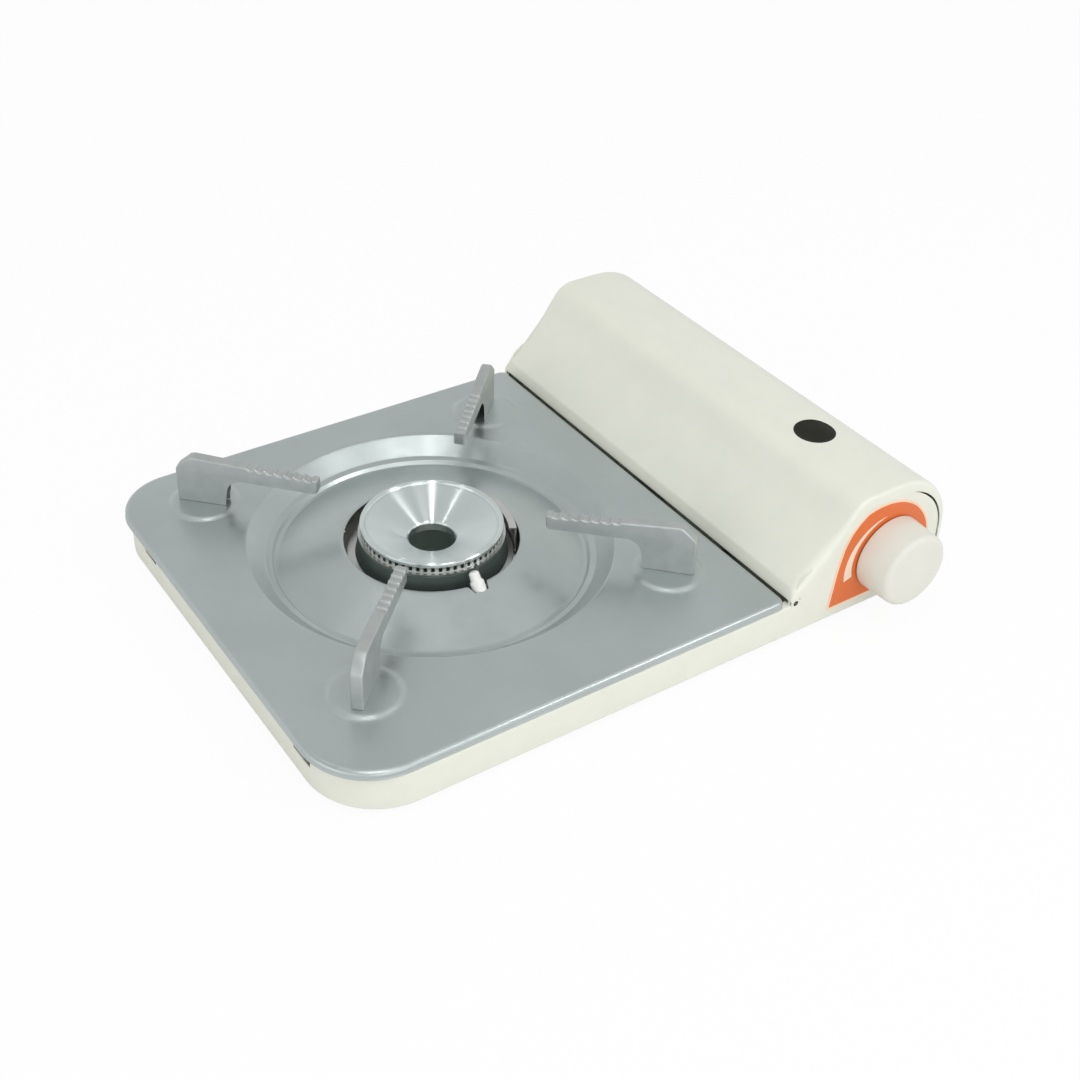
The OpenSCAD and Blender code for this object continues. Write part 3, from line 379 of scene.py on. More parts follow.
# the notch in the hole's edge for the electrode: its direction, depth, half width and soft side in degrees,
# and how far out from the hole it fades
NOTCH_AT, NOTCH_DEPTH, NOTCH_HALF, NOTCH_SIDE, NOTCH_FADE = math.radians(-91.3), 5.0, 7.2, 3.2, 15
# the bosses under the supports: distance from the burner, radius, height and width of the soft edge
BOSS_AT, BOSS_R, BOSS_H, BOSS_SIDE = 126.05, 19.4, 1.4, 3.0
# even directions round the burner, the least angle between two, the steps along the dish and over the flat
RAYS, LEAST_ANGLE, DISH_STEP, FLAT_RINGS = 640, 0.0012, 2.2, 48

# the dish in section, as (radius, height, fillet): from the flat down the wall, through the groove at its
# foot and up the floor to the hole. It is kept the other way round, with rising radii.
DISH = filleted([
    (DISH_R, 0.0, 0),
    (97.2, 0.0, 2.5),
    (87.6, -8.7, 1.5),
    (84.4, -9.4, 0.8),
    (82.8, -11.3, 0.6),
    (80.8, -11.2, 2.0),
    (49.5, -1.15, 2.0),
    (47.0, -0.55, 0),
], 8)[::-1]
# the hole's turned-down lip, as (distance behind the hole's edge, depth)
LIP = ((0.7, 1.1), (0.25, 1.0), (0.0, 0.6), (0.0, 0.25))
# the rim in section, as (distance inside the outline, height): the rolled edge, the rim and its turned-in hem
ROLL, ROLL_R = 2.2, 2.0
RIM = arc(ROLL, -ROLL, ROLL_R, 90, 180, 6)[1:] + [
    (0.35, -2.9),
    (0.3, -3.5),
    (0.05, -3.85),
    (0.0, -4.15),
    (0.2, -4.42),
    (0.6, -4.5),
    (1.0, -4.2),
    (1.05, -3.4),
]


def plate_outline(inner):
    """The plate's outline, moved inwards."""
    return plan(LEFT, FRONT, PLATE_RIGHT, PLATE_BACK, PLATE_RADII, inner)


def from_burner(angles, outline):
    """Where rays from the burner's axis cross an outline. The angles rise from -pi to pi."""
    moved = [(x - BURNER_X, y - BURNER_Y) for x, y in outline]
    polar = sorted((math.atan2(y, x), x, y) for x, y in moved)
    (first, *a), (last, *b) = polar[0], polar[-1]
    polar = [(last - 2 * math.pi, *b)] + polar + [(first + 2 * math.pi, *a)]
    out, i = [], 0
    for angle in angles:
        while polar[i + 1][0] < angle:
            i += 1
        (_, x0, y0), (_, x1, y1) = polar[i], polar[i + 1]
        c, s = math.cos(angle), math.sin(angle)
        across = (x1 - x0) * s - (y1 - y0) * c
        t = 0.0 if abs(across) < 1e-12 else max(0.0, min(1.0, (y0 * c - x0 * s) / across))
        out.append((x0 + (x1 - x0) * t, y0 + (y1 - y0) * t))
    return out


def notch(angle):
    """How deep the hole's edge steps back for the electrode at a polar angle."""
    off = math.degrees(abs(math.remainder(angle - NOTCH_AT, 2 * math.pi)))
    return NOTCH_DEPTH * smooth((NOTCH_HALF - off) / NOTCH_SIDE)


def boss(x, y):
    """Height of the round bosses that carry the pan supports."""
    off = math.hypot(abs(x) - BOSS_AT * math.sqrt(0.5), abs(y) - BOSS_AT * math.sqrt(0.5))
    return BOSS_H * smooth((BOSS_R - off) / BOSS_SIDE)


def plate_angles():
    """Rising directions from the burner: even ones, and those to the points of the plate's outline."""
    angles = [math.atan2(y - BURNER_Y, x - BURNER_X) for x, y in plate_outline(0)]
    angles = sorted(angles + [math.radians(-180 + 360 * i / RAYS) for i in range(RAYS)])
    keep = angles[:1]
    for angle in angles:
        if angle - keep[-1] > LEAST_ANGLE:
            keep.append(angle)
    return keep


def top_plate():
    """The pressed plate, in rings round the burner from the hole's lip to the rim's hem."""
    angles = plate_angles()
    unit = [(math.cos(a), math.sin(a), notch(a)) for a in angles]
    rings = []

    def add_ring(radius, height):
        """A ring at a radius, which the notch pushes outwards close to the hole."""
        ring = []
        for c, s, deep in unit:
            r = radius + deep * max(0.0, 1 - (radius - HOLE_R) / NOTCH_FADE)
            ring.append((BURNER_X + r * c, BURNER_Y + r * s, PLATE_Z + height(r)))
        rings.append(ring)

    for back, down in LIP:
        add_ring(HOLE_R + back, lambda r: height_at(r - back, DISH) - down)
    for radius, _ in dense(DISH, DISH_STEP):
        add_ring(radius, lambda r: height_at(r, DISH))
    edge = from_burner(angles, plate_outline(ROLL))
    for i in range(1, FLAT_RINGS + 1):
        ring = []
        for (c, s, _), end in zip(unit, edge):
            x, y = lerp((DISH_R * c, DISH_R * s), end, i / FLAT_RINGS)
            ring.append((BURNER_X + x, BURNER_Y + y, PLATE_Z + boss(x, y)))
        rings.append(ring)
    for inner, height in RIM:
        rings.append([(BURNER_X + x, BURNER_Y + y, PLATE_Z + height)
                      for x, y in from_burner(angles, plate_outline(inner))])
    return bridge(rings)


make("top_plate_sheet", top_plate(), "plate_steel", "cook_top", ("top_plate",), angle=48)


# ---------------------------------------------------------------- pan supports

# distances from the burner's axis of a support's tip and heel, and of the grip notches in its top edge
TIP_R, HEEL_R = 61.0, 139.5
GRIP_FIRST, GRIP_PITCH, GRIP_COUNT = 65.8, 5.3, 7
# half a notch's width, its depth, and the steps across it
GRIP_W, GRIP_H, GRIP_STEPS = 1.9, 1.15, 8
# half the channel's width, and the size of the bend from its top into its cheeks
SUPPORT_HALF, FOLD = 3.1, 1.0
# the top edge's height at the tip, and how much it rises over which length
TOP_H, TOP_RISE, TOP_RUN = 25.5, 4.0, 69.5
# the foot stands on a boss, and an arch opens under the arm, with its centre at ARCH_X and ARCH_H
FOOT_H, ARCH_X, ARCH_H, ARCH_R = 1.55, 102.6, 9.5, 9.0


def support_top(r):
    """Height of the top edge, which rises outwards."""
    return TOP_H + TOP_RISE * (r - TIP_R) / TOP_RUN


def support_strip():
    """The folded strip in side view, from under the tip over the top to the heel."""
    strip = [(TIP_R + 0.4, 18.0), (TIP_R, 19.5), (TIP_R, support_top(TIP_R) - 0.2)]
    for i in range(GRIP_COUNT):
        c = GRIP_FIRST + GRIP_PITCH * i
        for k in range(GRIP_STEPS + 1):
            a = math.pi * k / GRIP_STEPS
            strip.append((c - GRIP_W * math.cos(a), support_top(c) - GRIP_H * math.sin(a) ** 0.8))
    return strip + [(129.5, 29.5), (131.7, 28.9), (138.3, 23.0), (HEEL_R, 20.8), (HEEL_R, FOOT_H)]


def pan_support(angle):
    """A folded channel that stands on a boss, in a direction from the burner."""
    c, s = math.cos(math.radians(angle)), math.sin(math.radians(angle))

    def put(r, w, z):
        return (BURNER_X + r * c - w * s, BURNER_Y + r * s + w * c, PLATE_Z + z)

    strip = support_strip()
    folded = offset_path(strip, FOLD)
    # across the strip, as (inside the cheek, share of the fold): its two edges turn down into the cheeks
    bend = [(0.0, 1.0), (0.06, 0.62), (0.3, 0.3), (0.65, 0.08), (FOLD, 0.0), (SUPPORT_HALF, 0.0)]
    across = [(SUPPORT_HALF - w, t) for w, t in bend]
    across = [(-w, t) for w, t in across] + across[-2::-1]
    rings = []
    for w, t in across:
        edge = [lerp(p, q, t) for p, q in zip(strip, folded)]
        rings.append([put(r, w, z) for r, z in edge])
    # below, a cheek runs from the foot round the arch and along the arm to the tip
    cheek = folded + [(112.6, FOOT_H), (112.2, 6.5)] + arc(ARCH_X, ARCH_H, ARCH_R, 0, 90, 8)
    cheek += [(96.0, 18.2), (62.6, 17.5)]
    sides = (-SUPPORT_HALF, SUPPORT_HALF)
    cheeks = [flat_fill([cheek], lambda r, z, w=w: put(r, w, z)) for w in sides]
    return joined(bridge(rings, closed=False), *cheeks)


for i, angle in enumerate((-135, -45, 45, 135), 1):
    node = f"pan_support_{i}"
    make(f"pan_support_channel_{i}", pan_support(angle), "support_steel", "cook_top", (node,))


# ---------------------------------------------------------------- burner

def at_burner(x, y, z):
    """A point given from the burner's axis and the plate's height."""
    return BURNER_X + x, BURNER_Y + y, PLATE_Z + z


# Profiles are given as (radius, height, fillet).
# The spun cap goes from its bore up the dished face to the rim, and down to its lower side.
cap = filleted([
    (12.5, -5.9, 0),
    (12.5, -1.6, 1.0),
    (13.4, -0.5, 1.2),
    (34.1, 8.5, 0.3),
    (34.9, 8.2, 0.25),
    (35.5, 9.2, 0.3),
    (36.3, 9.7, 0.5),
    (37.3, 9.6, 0.4),
    (CAP_R, 9.0, 0.4),
    (CAP_R, 7.7, 0.4),
    (37.5, 6.9, 0.2),
    (36.6, 6.82, 0.2),
    (33.5, 6.75, 0),
], 4)
make("burner_cap_spun", lathe(cap, 192, at_burner), "cap_aluminium", "case", ("burner_cap",), angle=50)

# The pressed cup goes from its lip down the wall to the floor, with the throat in its middle.
CUP_FLOOR, THROAT_R, THROAT_TOP = -22.8, 12.5, -6.4
cup = filleted([
    (33.8, 2.2, 0),
    (37.6, 2.2, 0.2),
    (38.4, 2.35, 0.3),
    (38.9, 2.0, 0.4),
    (38.75, 1.3, 0.3),
    (39.3, -2.5, 3),
    (40.2, -8.0, 3),
    (40.3, -22.2, 0.6),
    (39.6, CUP_FLOOR, 0.6),
    (12.6, CUP_FLOOR, 0),
], 5)
throat = [(13.7, -22.6), (13.7, THROAT_TOP), (THROAT_R, THROAT_TOP), (THROAT_R, CUP_FLOOR)]
make("burner_cup_pressed", joined(lathe(cup, 160, at_burner), lathe(throat, 96, at_burner)),
     "cup_enamel", "case", ("burner_cup", "burner_throat"), angle=50)

CERAMIC_FOOT = Vector((BURNER_X, BURNER_Y - 52.4, PLATE_Z - 10.3))
CERAMIC_LEAN = (Matrix.Rotation(math.radians(12), 3, "Z")
                @ Matrix.Rotation(math.radians(-29), 3, "X"))
CERAMIC_L = 18.1


def in_ceramic(x, y, z):
    """A point given from the ceramic's foot, along its leaning axis."""
    return tuple(CERAMIC_FOOT + CERAMIC_LEAN @ Vector((x, y, z)))


# a thick collar below, a slimmer glazed nose above
ceramic = filleted([
    (0.0, 0.0, 0),
    (2.6, 0.0, 0.4),
    (3.75, 0.9, 0.6),
    (3.75, 12.4, 0.9),
    (2.85, 13.6, 0.7),
    (2.7, 17.2, 0.7),
    (1.9, CERAMIC_L, 0.5),
    (0.0, CERAMIC_L, 0),
], 4)
make("electrode_ceramic_glazed", lathe(ceramic, 48, in_ceramic), "ceramic", "case",
     ("electrode_ceramic",), angle=50)


# ---------------------------------------------------------------- lid section and seam

# the lid's section, as (x, z): the slope's low end, its kink and its top, then an arc of CROWN_R that starts
# CROWN_TILT off the upright, the flat top and the outer shoulder
LID_SLOPE = [(76.7, 25.6), (78.9, 31.8), (104.5, 58.2)]
CROWN_R, CROWN_TILT = 16.0, 53.0
CROWN_Z = LID_TOP - CROWN_R
crown_rise = CROWN_Z + CROWN_R * math.cos(math.radians(CROWN_TILT)) - LID_SLOPE[-1][1]
CROWN_X = (LID_SLOPE[-1][0] + crown_rise / math.tan(math.radians(CROWN_TILT))
           + CROWN_R * math.sin(math.radians(CROWN_TILT)))
CROWN = arc(CROWN_X, CROWN_Z, CROWN_R, 90 + CROWN_TILT, 90, 10)
SHOULDER_R, SHOULDER_STEPS, LID_HEM = 39.0, 18, 21.7
LID_SECTION = rounded(LID_SLOPE + CROWN[:1], [0, 5.0, 60.0, 0], 8) + CROWN[1:]
LID_SECTION += arc(RIGHT - SHOULDER_R, LID_TOP - SHOULDER_R, SHOULDER_R, 90, 0, SHOULDER_STEPS)
LID_SECTION.append((RIGHT, LID_HEM))

# the seam between the lid's end flange and the case's end panel runs FLANGE inside the section
FLANGE, SEAM_R, SEAM_RIGHT, SEAM_STEP = 6.0, 35.0, RIGHT - 3, 1.5
LUG_R, LUG_STEPS = 2.8, 14
# how far the flange laps over the panel and stands proud of it, and the gap that opens at the shoulder from
# GAP_X on, over a length of GAP_RUN
SEAM_LAP, SEAM_PROUD = 0.3, 0.05
SHOULDER_GAP, GAP_X, GAP_RUN = 1.5, 146, 22
SEAM = offset_path(LID_SLOPE + CROWN + [(150.0, LID_TOP)], FLANGE)[:-1]
SEAM += arc(SEAM_RIGHT - SEAM_R, LID_TOP - FLANGE - SEAM_R, SEAM_R, 90, 0, SHOULDER_STEPS)
SEAM.append((RIGHT - 2.2, 23.5))
SEAM = [p for p in dense(SEAM, SEAM_STEP)
        if math.dist(p, HINGE) > LUG_R + 0.2 and p[1] > WALL_TOP + 0.4]
LUG_END = math.degrees(math.atan2(SEAM[0][1] - HINGE[1], SEAM[0][0] - HINGE[0]))


def panel_edge():
    """The end panel's free edge: round the hinge, then along the seam, which opens at the shoulder."""
    tight, loose = SEAM, offset_path(SEAM, SHOULDER_GAP)
    along = [lerp(p, q, smooth((p[0] - GAP_X) / GAP_RUN)) for p, q in zip(tight, loose)]
    return arc(*HINGE, LUG_R, 192, LUG_END, LUG_STEPS) + along


# ---------------------------------------------------------------- case

CASE_RADII = (38, 3, 3, 38)
# the bend at the foot, and the bend and the width of the flange on top
FOOT_R, HEM_R, HEM_W = 2.4, 1.0, 5.0
# the end panel starts at the wall's bend, left of the hinge, and ends short of the right wall
PANEL_X, PANEL_FOOT, PANEL_SHORT = HINGE[0] - LUG_R, WALL_TOP - HEM_R, 3
PIN_HOLE_R = 0.45
# the slots in the left wall, in z and in y
SLOT_TOP, SLOT_FOOT = 20.6, 15.8
SLOTS = ((-89.5, -74.5), (82.6, 96.6))
# the floor's slots: their width, then the length and the pitch of the long ones, in two rows at LONG_AWAY
# from the burner, and of the cross ones under the cartridge
VENT_W = 3.0
LONG_VENT, LONG_PITCH, LONG_AWAY = 34, 12, 72
CROSS_VENT, CROSS_PITCH = 20, 18


def with_stops(path, axis, stops):
    """A closed path with a point wherever a straight side crosses a stop in x (axis 0) or y (axis 1)."""
    out = []
    for p, q in zip(path, path[1:] + path[:1]):
        out.append(p)
        if abs(p[1 - axis] - q[1 - axis]) < 0.001:
            shares = sorted((stop - p[axis]) / (q[axis] - p[axis]) for stop in stops)
            out += [lerp(p, q, share) for share in shares if 0.001 < share < 0.999]
    return out


def vents():
    """Outlines of the slots in the floor: under the burner and under the cartridge."""
    out = []

    def add_slot(x, y, wide, deep):
        out.append([(x, y), (x, y + deep), (x + wide, y + deep), (x + wide, y)])

    for i in (-3, -2, 2, 3):
        for side in (-1, 1):
            x = BURNER_X + LONG_PITCH * i - VENT_W / 2
            add_slot(x, BURNER_Y + LONG_AWAY * side - LONG_VENT / 2, VENT_W, LONG_VENT)
    for i in range(-3, 4):
        add_slot(AXIS_X - CROSS_VENT / 2, BURNER_Y + CROSS_PITCH * (i + 0.5), CROSS_VENT, VENT_W)
    return out


def case_shell():
    """The walls from the flange on top to the foot, with the end panels and the floor."""
    path = plan(WALL_LEFT, FRONT, WALL_RIGHT, BACK, CASE_RADII)
    path = with_stops(with_stops(path, 0, (PANEL_X,)), 1, [y for slot in SLOTS for y in slot])
    profile = filleted([
        (HEM_W, WALL_TOP, 0),
        (0.0, WALL_TOP, HEM_R),
        (0.0, CASE_Z, FOOT_R),
        (FOOT_R, CASE_Z, 0),
    ], 6)
    turn = next(i for i, (inner, z) in enumerate(profile) if inner < 1e-6 and z < SLOT_TOP)
    profile[turn:turn] = [(0.0, SLOT_TOP), (0.0, SLOT_FOOT)]
    # a point goes inwards along the line from the path to its inset by 1 mm
    inner_path = inset(path, 1.0)
    rings = [[(*lerp(p, q, inner), z) for p, q in zip(path, inner_path)] for inner, z in profile]
    verts, faces = bridge(rings)
    count = len(path)
    # left out are the slots, the walls' tops behind the end panels, and the flange under the lid
    shown = []
    for face in faces:
        level, side = divmod(face[0], count)
        upper = profile[level][1]
        x, y = lerp(path[side], path[(side + 1) % count], 0.5)
        in_slot = x < WALL_LEFT + 1 and any(low < y < high for low, high in SLOTS) and upper == SLOT_TOP
        at_end = x > PANEL_X and (y < FRONT + 0.01 or y > BACK - 0.01)
        in_panel = at_end and upper > PANEL_FOOT + 0.01
        no_flange = x > PANEL_X - 2 and profile[level][0] > 0.9
        if not (in_slot or in_panel or no_flange):
            shown.append(face)
    panel = [(PANEL_X, PANEL_FOOT)] + panel_edge() + [(WALL_RIGHT - PANEL_SHORT, PANEL_FOOT)]
    pin_hole = arc(*HINGE, PIN_HOLE_R, 0, 315, 7)
    ends = [flat_fill([panel, pin_hole], lambda x, z, y=y: (x, y, z)) for y in (FRONT, BACK)]
    floor = flat_fill([inset(path, FOOT_R)] + vents(), lambda x, y: (x, y, CASE_Z))
    return joined((verts, shown), *ends, floor)


make("case_pressed", case_shell(), "case_paint", "case", ("base_case",), sheet=SHEET)


# ---------------------------------------------------------------- lid

END_STEPS, BODY_STEPS, LID_STEP = 8, 60, 3.0
# the bend into the end plane is longer along the lid than across it
BEND_LONG = 1.25
# how deep that bend is: up the slope by height, along the top by x, and down the right side by height
SLOPE_END_X, SIDE_TOP_Z = 118, 60
SLOPE_BEND = ((25.6, 0.6), (28, 1.6), (31, 3.4), (36, 4.8), (43, 5.0), (52, 4.2), (61, 2.4), (69, 1.8))
TOP_BEND = ((SLOPE_END_X, 1.8), (135, 1.6), (150, 1.9), (170, 2.4), (183, 2.4))
SIDE_BEND = ((21, 1.6), (40, 2.2), (SIDE_TOP_Z, 2.4))


def blend_depth(x, z):
    """How far the section is rounded over into the end plane."""
    if x < SLOPE_END_X:
        return height_at(z, SLOPE_BEND)
    if z > SIDE_TOP_Z:
        return height_at(x, TOP_BEND)
    return height_at(z, SIDE_BEND)


def nearest(point, path):
    """The point of a path that is nearest to a point."""
    found = []
    for a, b in zip(path, path[1:]):
        a, step = Vector(a), Vector(b) - Vector(a)
        t = max(0.0, min(1.0, (Vector(point) - a).dot(step) / step.length_squared))
        found.append(a + step * t)
    return tuple(min(found, key=lambda q: (q - Vector(point)).length))


def lid_shell():
    """The lid's section along its length, rounded over into a flange at each end."""
    section = dense(LID_SECTION, LID_STEP)
    moved = offset_path(section, 1.0)
    inward = [(Vector(q) - Vector(p)).normalized() for p, q in zip(section, moved)]
    depth = [blend_depth(x, z) for x, z in section]

    def end_rings(y_end, direction):
        """Rings that turn the section over into the end plane. The first is the full section."""
        out = []
        for k in range(END_STEPS + 1):
            a = math.pi / 2 * k / END_STEPS
            ring = []
            for (x, z), n, w in zip(section, inward, depth):
                y = y_end + direction * BEND_LONG * w * (1 - math.sin(a))
                ring.append((x + n.x * w * (1 - math.cos(a)), y, z + n.y * w * (1 - math.cos(a))))
            out.append(ring)
        return out

    front, back = end_rings(FRONT, 1), end_rings(BACK, -1)
    body = [[lerp(p, q, i / BODY_STEPS) for p, q in zip(front[0], back[0])]
            for i in range(1, BODY_STEPS)]
    parts = [bridge(front[::-1] + body + back, closed=False)]
    # end flanges, from the rounded edge round the hinge and along the seam, where they lap over the end panel
    lug = arc(*HINGE, LUG_R, 175, LUG_END, LUG_STEPS)
    along = offset_path(SEAM, SEAM_LAP)
    for y_end, crease in ((FRONT - SEAM_PROUD, front[-1]), (BACK + SEAM_PROUD, back[-1])):
        free = [nearest((x, z), lug + along) for x, _, z in crease]
        # one point goes right into the corner between the lug and the seam, so that no notch stays open
        corner = min(free, key=lambda spot: math.dist(spot, along[0]))
        free[free.index(corner)] = along[0]
        parts.append(bridge([crease, [(x, y_end, z) for x, z in free]], closed=False))
    return joined(*parts)


make("lid_pressed", lid_shell(), "case_paint", "lid", ("lid",), sheet=SHEET)

EAR_R, EAR_HOLE_R, EAR_THICK, EAR_BEHIND = 4.0, 1.56, 1.2, 1.3


def lid_ear(y):
    """A lug behind the end panel that turns on the hinge pin."""
    outline = arc(*HINGE, EAR_R, 200, 350, 10) + [(89.0, 40.5), (83.0, 36.0), (77.9, 28.2)]
    hole = arc(*HINGE, EAR_HOLE_R, 0, 337.5, 15)
    faces = (y, y + EAR_THICK)
    sides = [flat_fill([outline, hole], lambda x, z, at=at: (x, at, z)) for at in faces]
    edges = [bridge([[(x, at, z) for x, z in loop] for at in faces]) for loop in (outline, hole)]
    return joined(*sides, *edges)


for end, y in (("front", FRONT + EAR_BEHIND), ("back", BACK - EAR_BEHIND - EAR_THICK)):
    make(f"lid_ear_{end}", lid_ear(y), "case_paint", "lid")

SHADE_DISC_X, SHADE_DISC_Y = middle("lid_window", 0), middle("lid_window", 1)
# a black disc over a hole in the lid's top, whose black is painted shade that stands in for the dark inside
# of the hole, as (radius, height over the lid's top, fillet): a flat face in a low ring
DISC_FACE_H, RING_H = 0.06, 0.18
shade_disc = filleted([
    (0.0, DISC_FACE_H, 0),
    (4.0, DISC_FACE_H, 0),
    (7.5, DISC_FACE_H, 0),
    (10.7, DISC_FACE_H, 0.2),
    (10.95, RING_H, 0.1),
    (11.4, RING_H, 0.1),
    (11.48, -1.2, 0),
], 4)


def on_lid_top(x, y, z):
    """A point from the black disc's middle, over the lid's top, which bends down at the outer shoulder."""
    over = max(0.0, SHADE_DISC_X + x - (RIGHT - SHOULDER_R))
    top = LID_TOP + z - SHOULDER_R + math.sqrt(SHOULDER_R ** 2 - over ** 2)
    return SHADE_DISC_X + x, SHADE_DISC_Y + y, top


# the black disc is painted shade for the dark inside of the hole in the lid
make("lid_hole_shade_disc", lathe(shade_disc, 96, on_lid_top), "window_black", "lid", ("lid_window",))


# ---------------------------------------------------------------- dial plate and knob

# the plate's foot under the knob's axis, and the bow that follows the seam over it
DIAL_FOOT_X, DIAL_FOOT_Z = AXIS_X - 37.6, 9.2
DIAL_BOW_X, DIAL_BOW_Z, DIAL_BOW_R = AXIS_X - 7.8, PLATE_Z + 0.4, 38.6
MARK_STEPS = 32


def dial_outline():
    """The dial plate's outline, from its left foot up and round the bow to its right foot."""
    # each is (right of the foot, height, fillet)
    left = [
        (0, DIAL_FOOT_Z, 1.5),
        (2.1, AXIS_Z, 40),
        (4.6, DIAL_FOOT_Z + 38.2, 30),
        (8.2, DIAL_FOOT_Z + 46.4, 12),
        (12.8, DIAL_FOOT_Z + 51.8, 14),
    ]
    bow = arc(DIAL_BOW_X, DIAL_BOW_Z, DIAL_BOW_R, 108, 0, 40)
    path = [(DIAL_FOOT_X + x, z) for x, z, _ in left] + bow + [(AXIS_X + 30.8, DIAL_FOOT_Z)]
    radii = [radius for _, _, radius in left] + [0] * len(bow) + [3]
    return rounded(path, radii, closed=True)


def dial_mark():
    """A crescent round the knob, wide at its lower end."""
    outer, inner = [], []
    for i in range(MARK_STEPS + 1):
        a, share = math.radians(198 - 3 * i), 1 - i / MARK_STEPS
        for side, r in ((inner, 24.7), (outer, 24.85 + 5.4 * share ** 0.9)):
            side.append((AXIS_X + r * math.cos(a), AXIS_Z + r * math.sin(a)))
    return outer + inner[::-1]


def front_slab(outline, back, proud, bevel=0.12):
    """A thin plate in front of the end panel, with softened edges."""
    face = inset(outline, bevel)
    steps = ((outline, FRONT - back), (outline, FRONT - proud + bevel), (face, FRONT - proud))
    rings = [[(x, y, z) for x, z in loop] for loop, y in steps]
    return joined(bridge(rings), flat_fill([face], lambda x, z: (x, FRONT - proud, z)))


DIAL_BORDER = 1.2
dial = dial_outline()
face = inset(dial, DIAL_BORDER)
make("dial_border", front_slab(dial, 0.01, 0.3), "dial_orange", "case", ("dial_plate",), BORDER)
make("dial_face", front_slab(face, 0.2, 0.42), "dial_orange", "case")
make("dial_mark", front_slab(dial_mark(), 0.3, 0.48, 0.04), "dial_orange", "case", (), MARK)

# the knob, as (radius, distance in front of its seat, fillet), from the bore over the skirt to the face
KNOB_D, KNOB_SEAT = 21.0, 1.0
knob = filleted([
    (3.05, 1.5, 0),
    (19.0, 1.5, 0.3),
    (19.6, 0.0, 0.3),
    (21.6, 0.0, 0.2),
    (21.85, 0.35, 0.2),
    (21.0, KNOB_D, 3.2),
    (0.0, KNOB_D, 0),
], 10)


def on_knob_axis(x, z, out):
    """A point from the knob's seat, out along its axis."""
    return AXIS_X + x, FRONT - KNOB_SEAT - out, AXIS_Z + z


make("knob_moulded", lathe(knob, 144, on_knob_axis), "knob_plastic", "knob", ("knob",), angle=50)


# ---------------------------------------------------------------- stage

def camera_sees_white(tree, surface, output, share):
    """Mixes a white glow into a shader for what the camera sees directly."""
    path = tree.nodes.new("ShaderNodeLightPath")
    glow = tree.nodes.new("ShaderNodeEmission")
    amount = tree.nodes.new("ShaderNodeMath")
    amount.operation = "MULTIPLY"
    amount.inputs[1].default_value = share
    mix = tree.nodes.new("ShaderNodeMixShader")
    tree.links.new(path.outputs["Is Camera Ray"], amount.inputs[0])
    tree.links.new(amount.outputs[0], mix.inputs[0])
    tree.links.new(surface, mix.inputs[1])
    tree.links.new(glow.outputs[0], mix.inputs[2])
    tree.links.new(mix.outputs[0], output)


FLOOR_HALF = 3


def floor():
    """A pale floor that shows the camera little more than the shadow."""
    mat = bpy.data.materials.new("floor_white")
    mat.use_nodes = True
    nodes = mat.node_tree.nodes
    shader = nodes["Principled BSDF"]
    shader.inputs["Base Color"].default_value = (0.86, 0.86, 0.86, 1)
    shader.inputs["Roughness"].default_value = 0.9
    shader.inputs["Specular IOR Level"].default_value = 0.1
    camera_sees_white(mat.node_tree, shader.outputs[0], nodes["Material Output"].inputs["Surface"], 0.94)
    data = bpy.data.meshes.new("floor")
    corners = ((-1, -1), (1, -1), (1, 1), (-1, 1))
    data.from_pydata([(x * FLOOR_HALF, y * FLOOR_HALF, 0) for x, y in corners], [], [(0, 1, 2, 3)])
    data.materials.append(mat)
    plane = bpy.data.objects.new("floor", data)
    bpy.context.scene.collection.objects.link(plane)


def studio_world(tones):
    """A grey sky whose tone depends on the height over the horizon, given as (height, tone)."""
    world = bpy.data.worlds.new("studio")
    bpy.context.scene.world = world
    world.use_nodes = True
    tree = world.node_tree
    sky = tree.nodes["Background"]
    place = tree.nodes.new("ShaderNodeTexCoord")
    split = tree.nodes.new("ShaderNodeSeparateXYZ")
    ramp = tree.nodes.new("ShaderNodeValToRGB")
    tree.links.new(place.outputs["Generated"], split.inputs[0])
    tree.links.new(split.outputs["Z"], ramp.inputs["Fac"])
    tree.links.new(ramp.outputs["Color"], sky.inputs["Color"])
    stops = ramp.color_ramp.elements
    for i, (height, tone) in enumerate(tones):
        stop = stops[i] if i < 2 else stops.new(height)
        stop.position = height
        stop.color = (tone, tone, tone, 1)
    camera_sees_white(tree, sky.outputs[0], tree.nodes["World Output"].inputs["Surface"], 1.0)


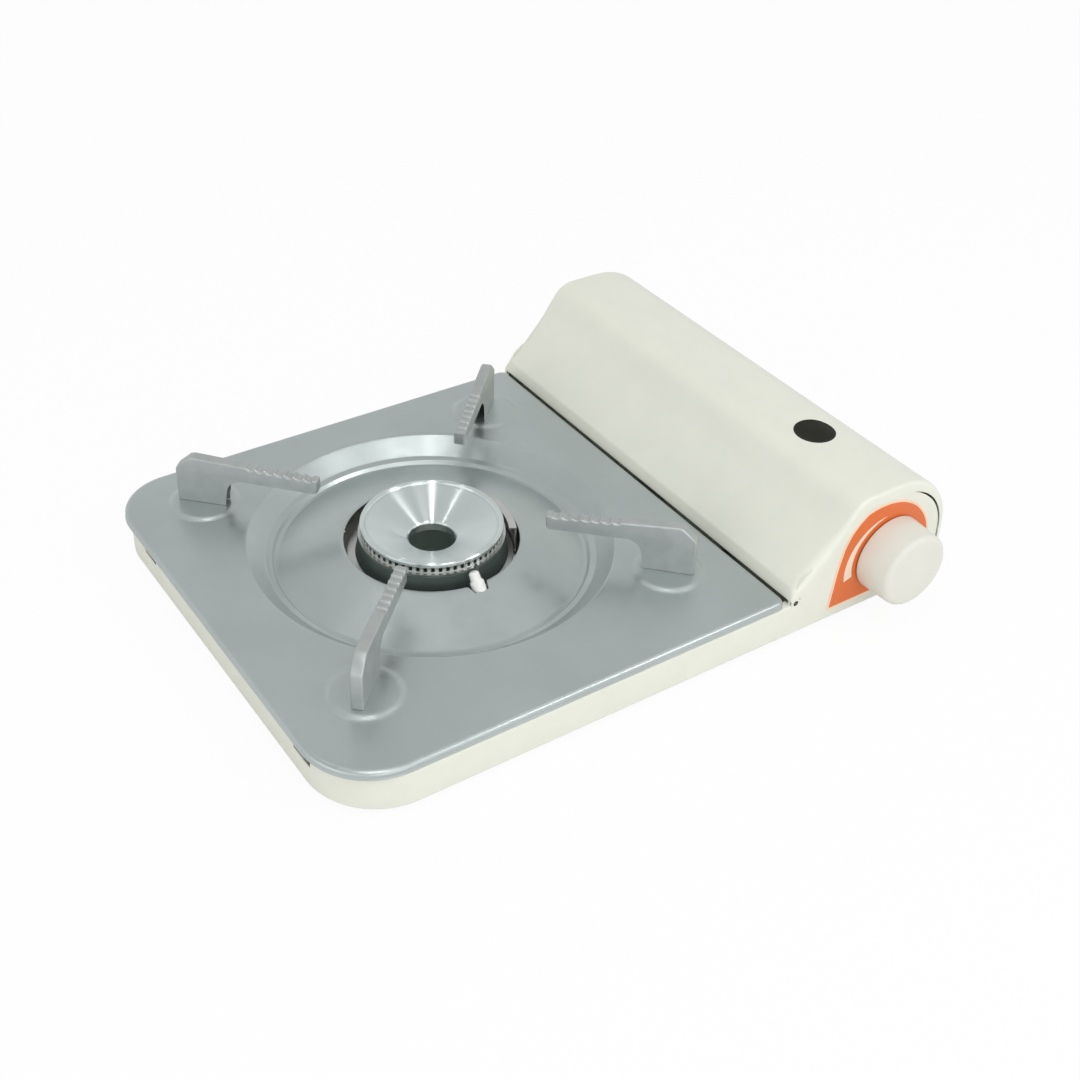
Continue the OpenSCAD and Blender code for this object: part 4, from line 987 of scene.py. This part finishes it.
def area_light(name, direction, along, length, width, watts, distance=1.5):
    """A rectangular lamp in a direction from the burner, facing it, with its length along another one."""
    light = bpy.data.lights.new(name, "AREA")
    light.shape = "RECTANGLE"
    light.size = length
    light.size_y = width
    light.energy = watts
    lamp = bpy.data.objects.new(name, light)
    bpy.context.scene.collection.objects.link(lamp)
    z = Vector(direction).normalized()
    x = Vector(along)
    x = (x - z * x.dot(z)).normalized()
    place = Vector((BURNER_X, BURNER_Y, PLATE_Z)) * MM + z * distance
    lamp.matrix_world = Matrix.Translation(place) @ Matrix((x, z.cross(x), z)).transposed().to_4x4()


def camera(azimuth, elevation, roll, target, distance, lens):
    """A camera that looks at the target. Azimuth 0 looks along +Y."""
    data = bpy.data.cameras.new("camera")
    data.sensor_width = 36.0
    data.lens = lens
    data.clip_start = 0.01
    turn = (Matrix.Rotation(math.radians(azimuth), 4, "Z")
            @ Matrix.Rotation(math.radians(90 - elevation), 4, "X")
            @ Matrix.Rotation(math.radians(roll), 4, "Z"))
    eye = bpy.data.objects.new("camera", data)
    bpy.context.scene.collection.objects.link(eye)
    back = Matrix.Translation((0, 0, distance * MM))
    eye.matrix_world = Matrix.Translation(Vector(target) * MM) @ turn @ back
    bpy.context.scene.camera = eye


floor()
# brighter at the horizon than overhead
studio_world(((0.0, 0.87), (0.45, 0.74), (0.65, 0.655), (1.0, 0.60)))
# strips for the bright bands in the plate's dish and on the cap, then soft fills for the painted sides
area_light("overhead", (-0.16, -0.25, 0.955), (0.54, 0.84, 0), 0.95, 0.085, 2.4)
area_light("right_strip", (0.48, -0.25, 0.84), (0.0, 1.0, 0), 0.9, 0.085, 0.5)
area_light("left_strip", (-0.14, 0.33, 0.93), (0.88, 0.47, 0), 0.3, 0.02, 0.2)
area_light("glint", (0.0, -0.55, 0.835), (1.0, 0.0, 0), 0.35, 0.35, 1.5)
area_light("edge", (0.47, -0.58, 0.62), (1.0, 0.8, 0), 0.4, 0.2, 2.5)
area_light("front_fill", (-0.1, -1.0, 0.30), (1.0, -0.1, 0), 1.6, 0.8, 4.2, 1.8)
area_light("left_fill", (-1.0, -0.25, 0.35), (-0.25, 1.0, 0), 1.6, 0.8, 3.2, 1.8)
# solved from the stove's edges in the photograph
camera(-35.69, 36.94, 2.813, (-5.4, -15.7, 28.0), 822.1, 51.806)
bpy.context.scene.view_settings.view_transform = "Standard"
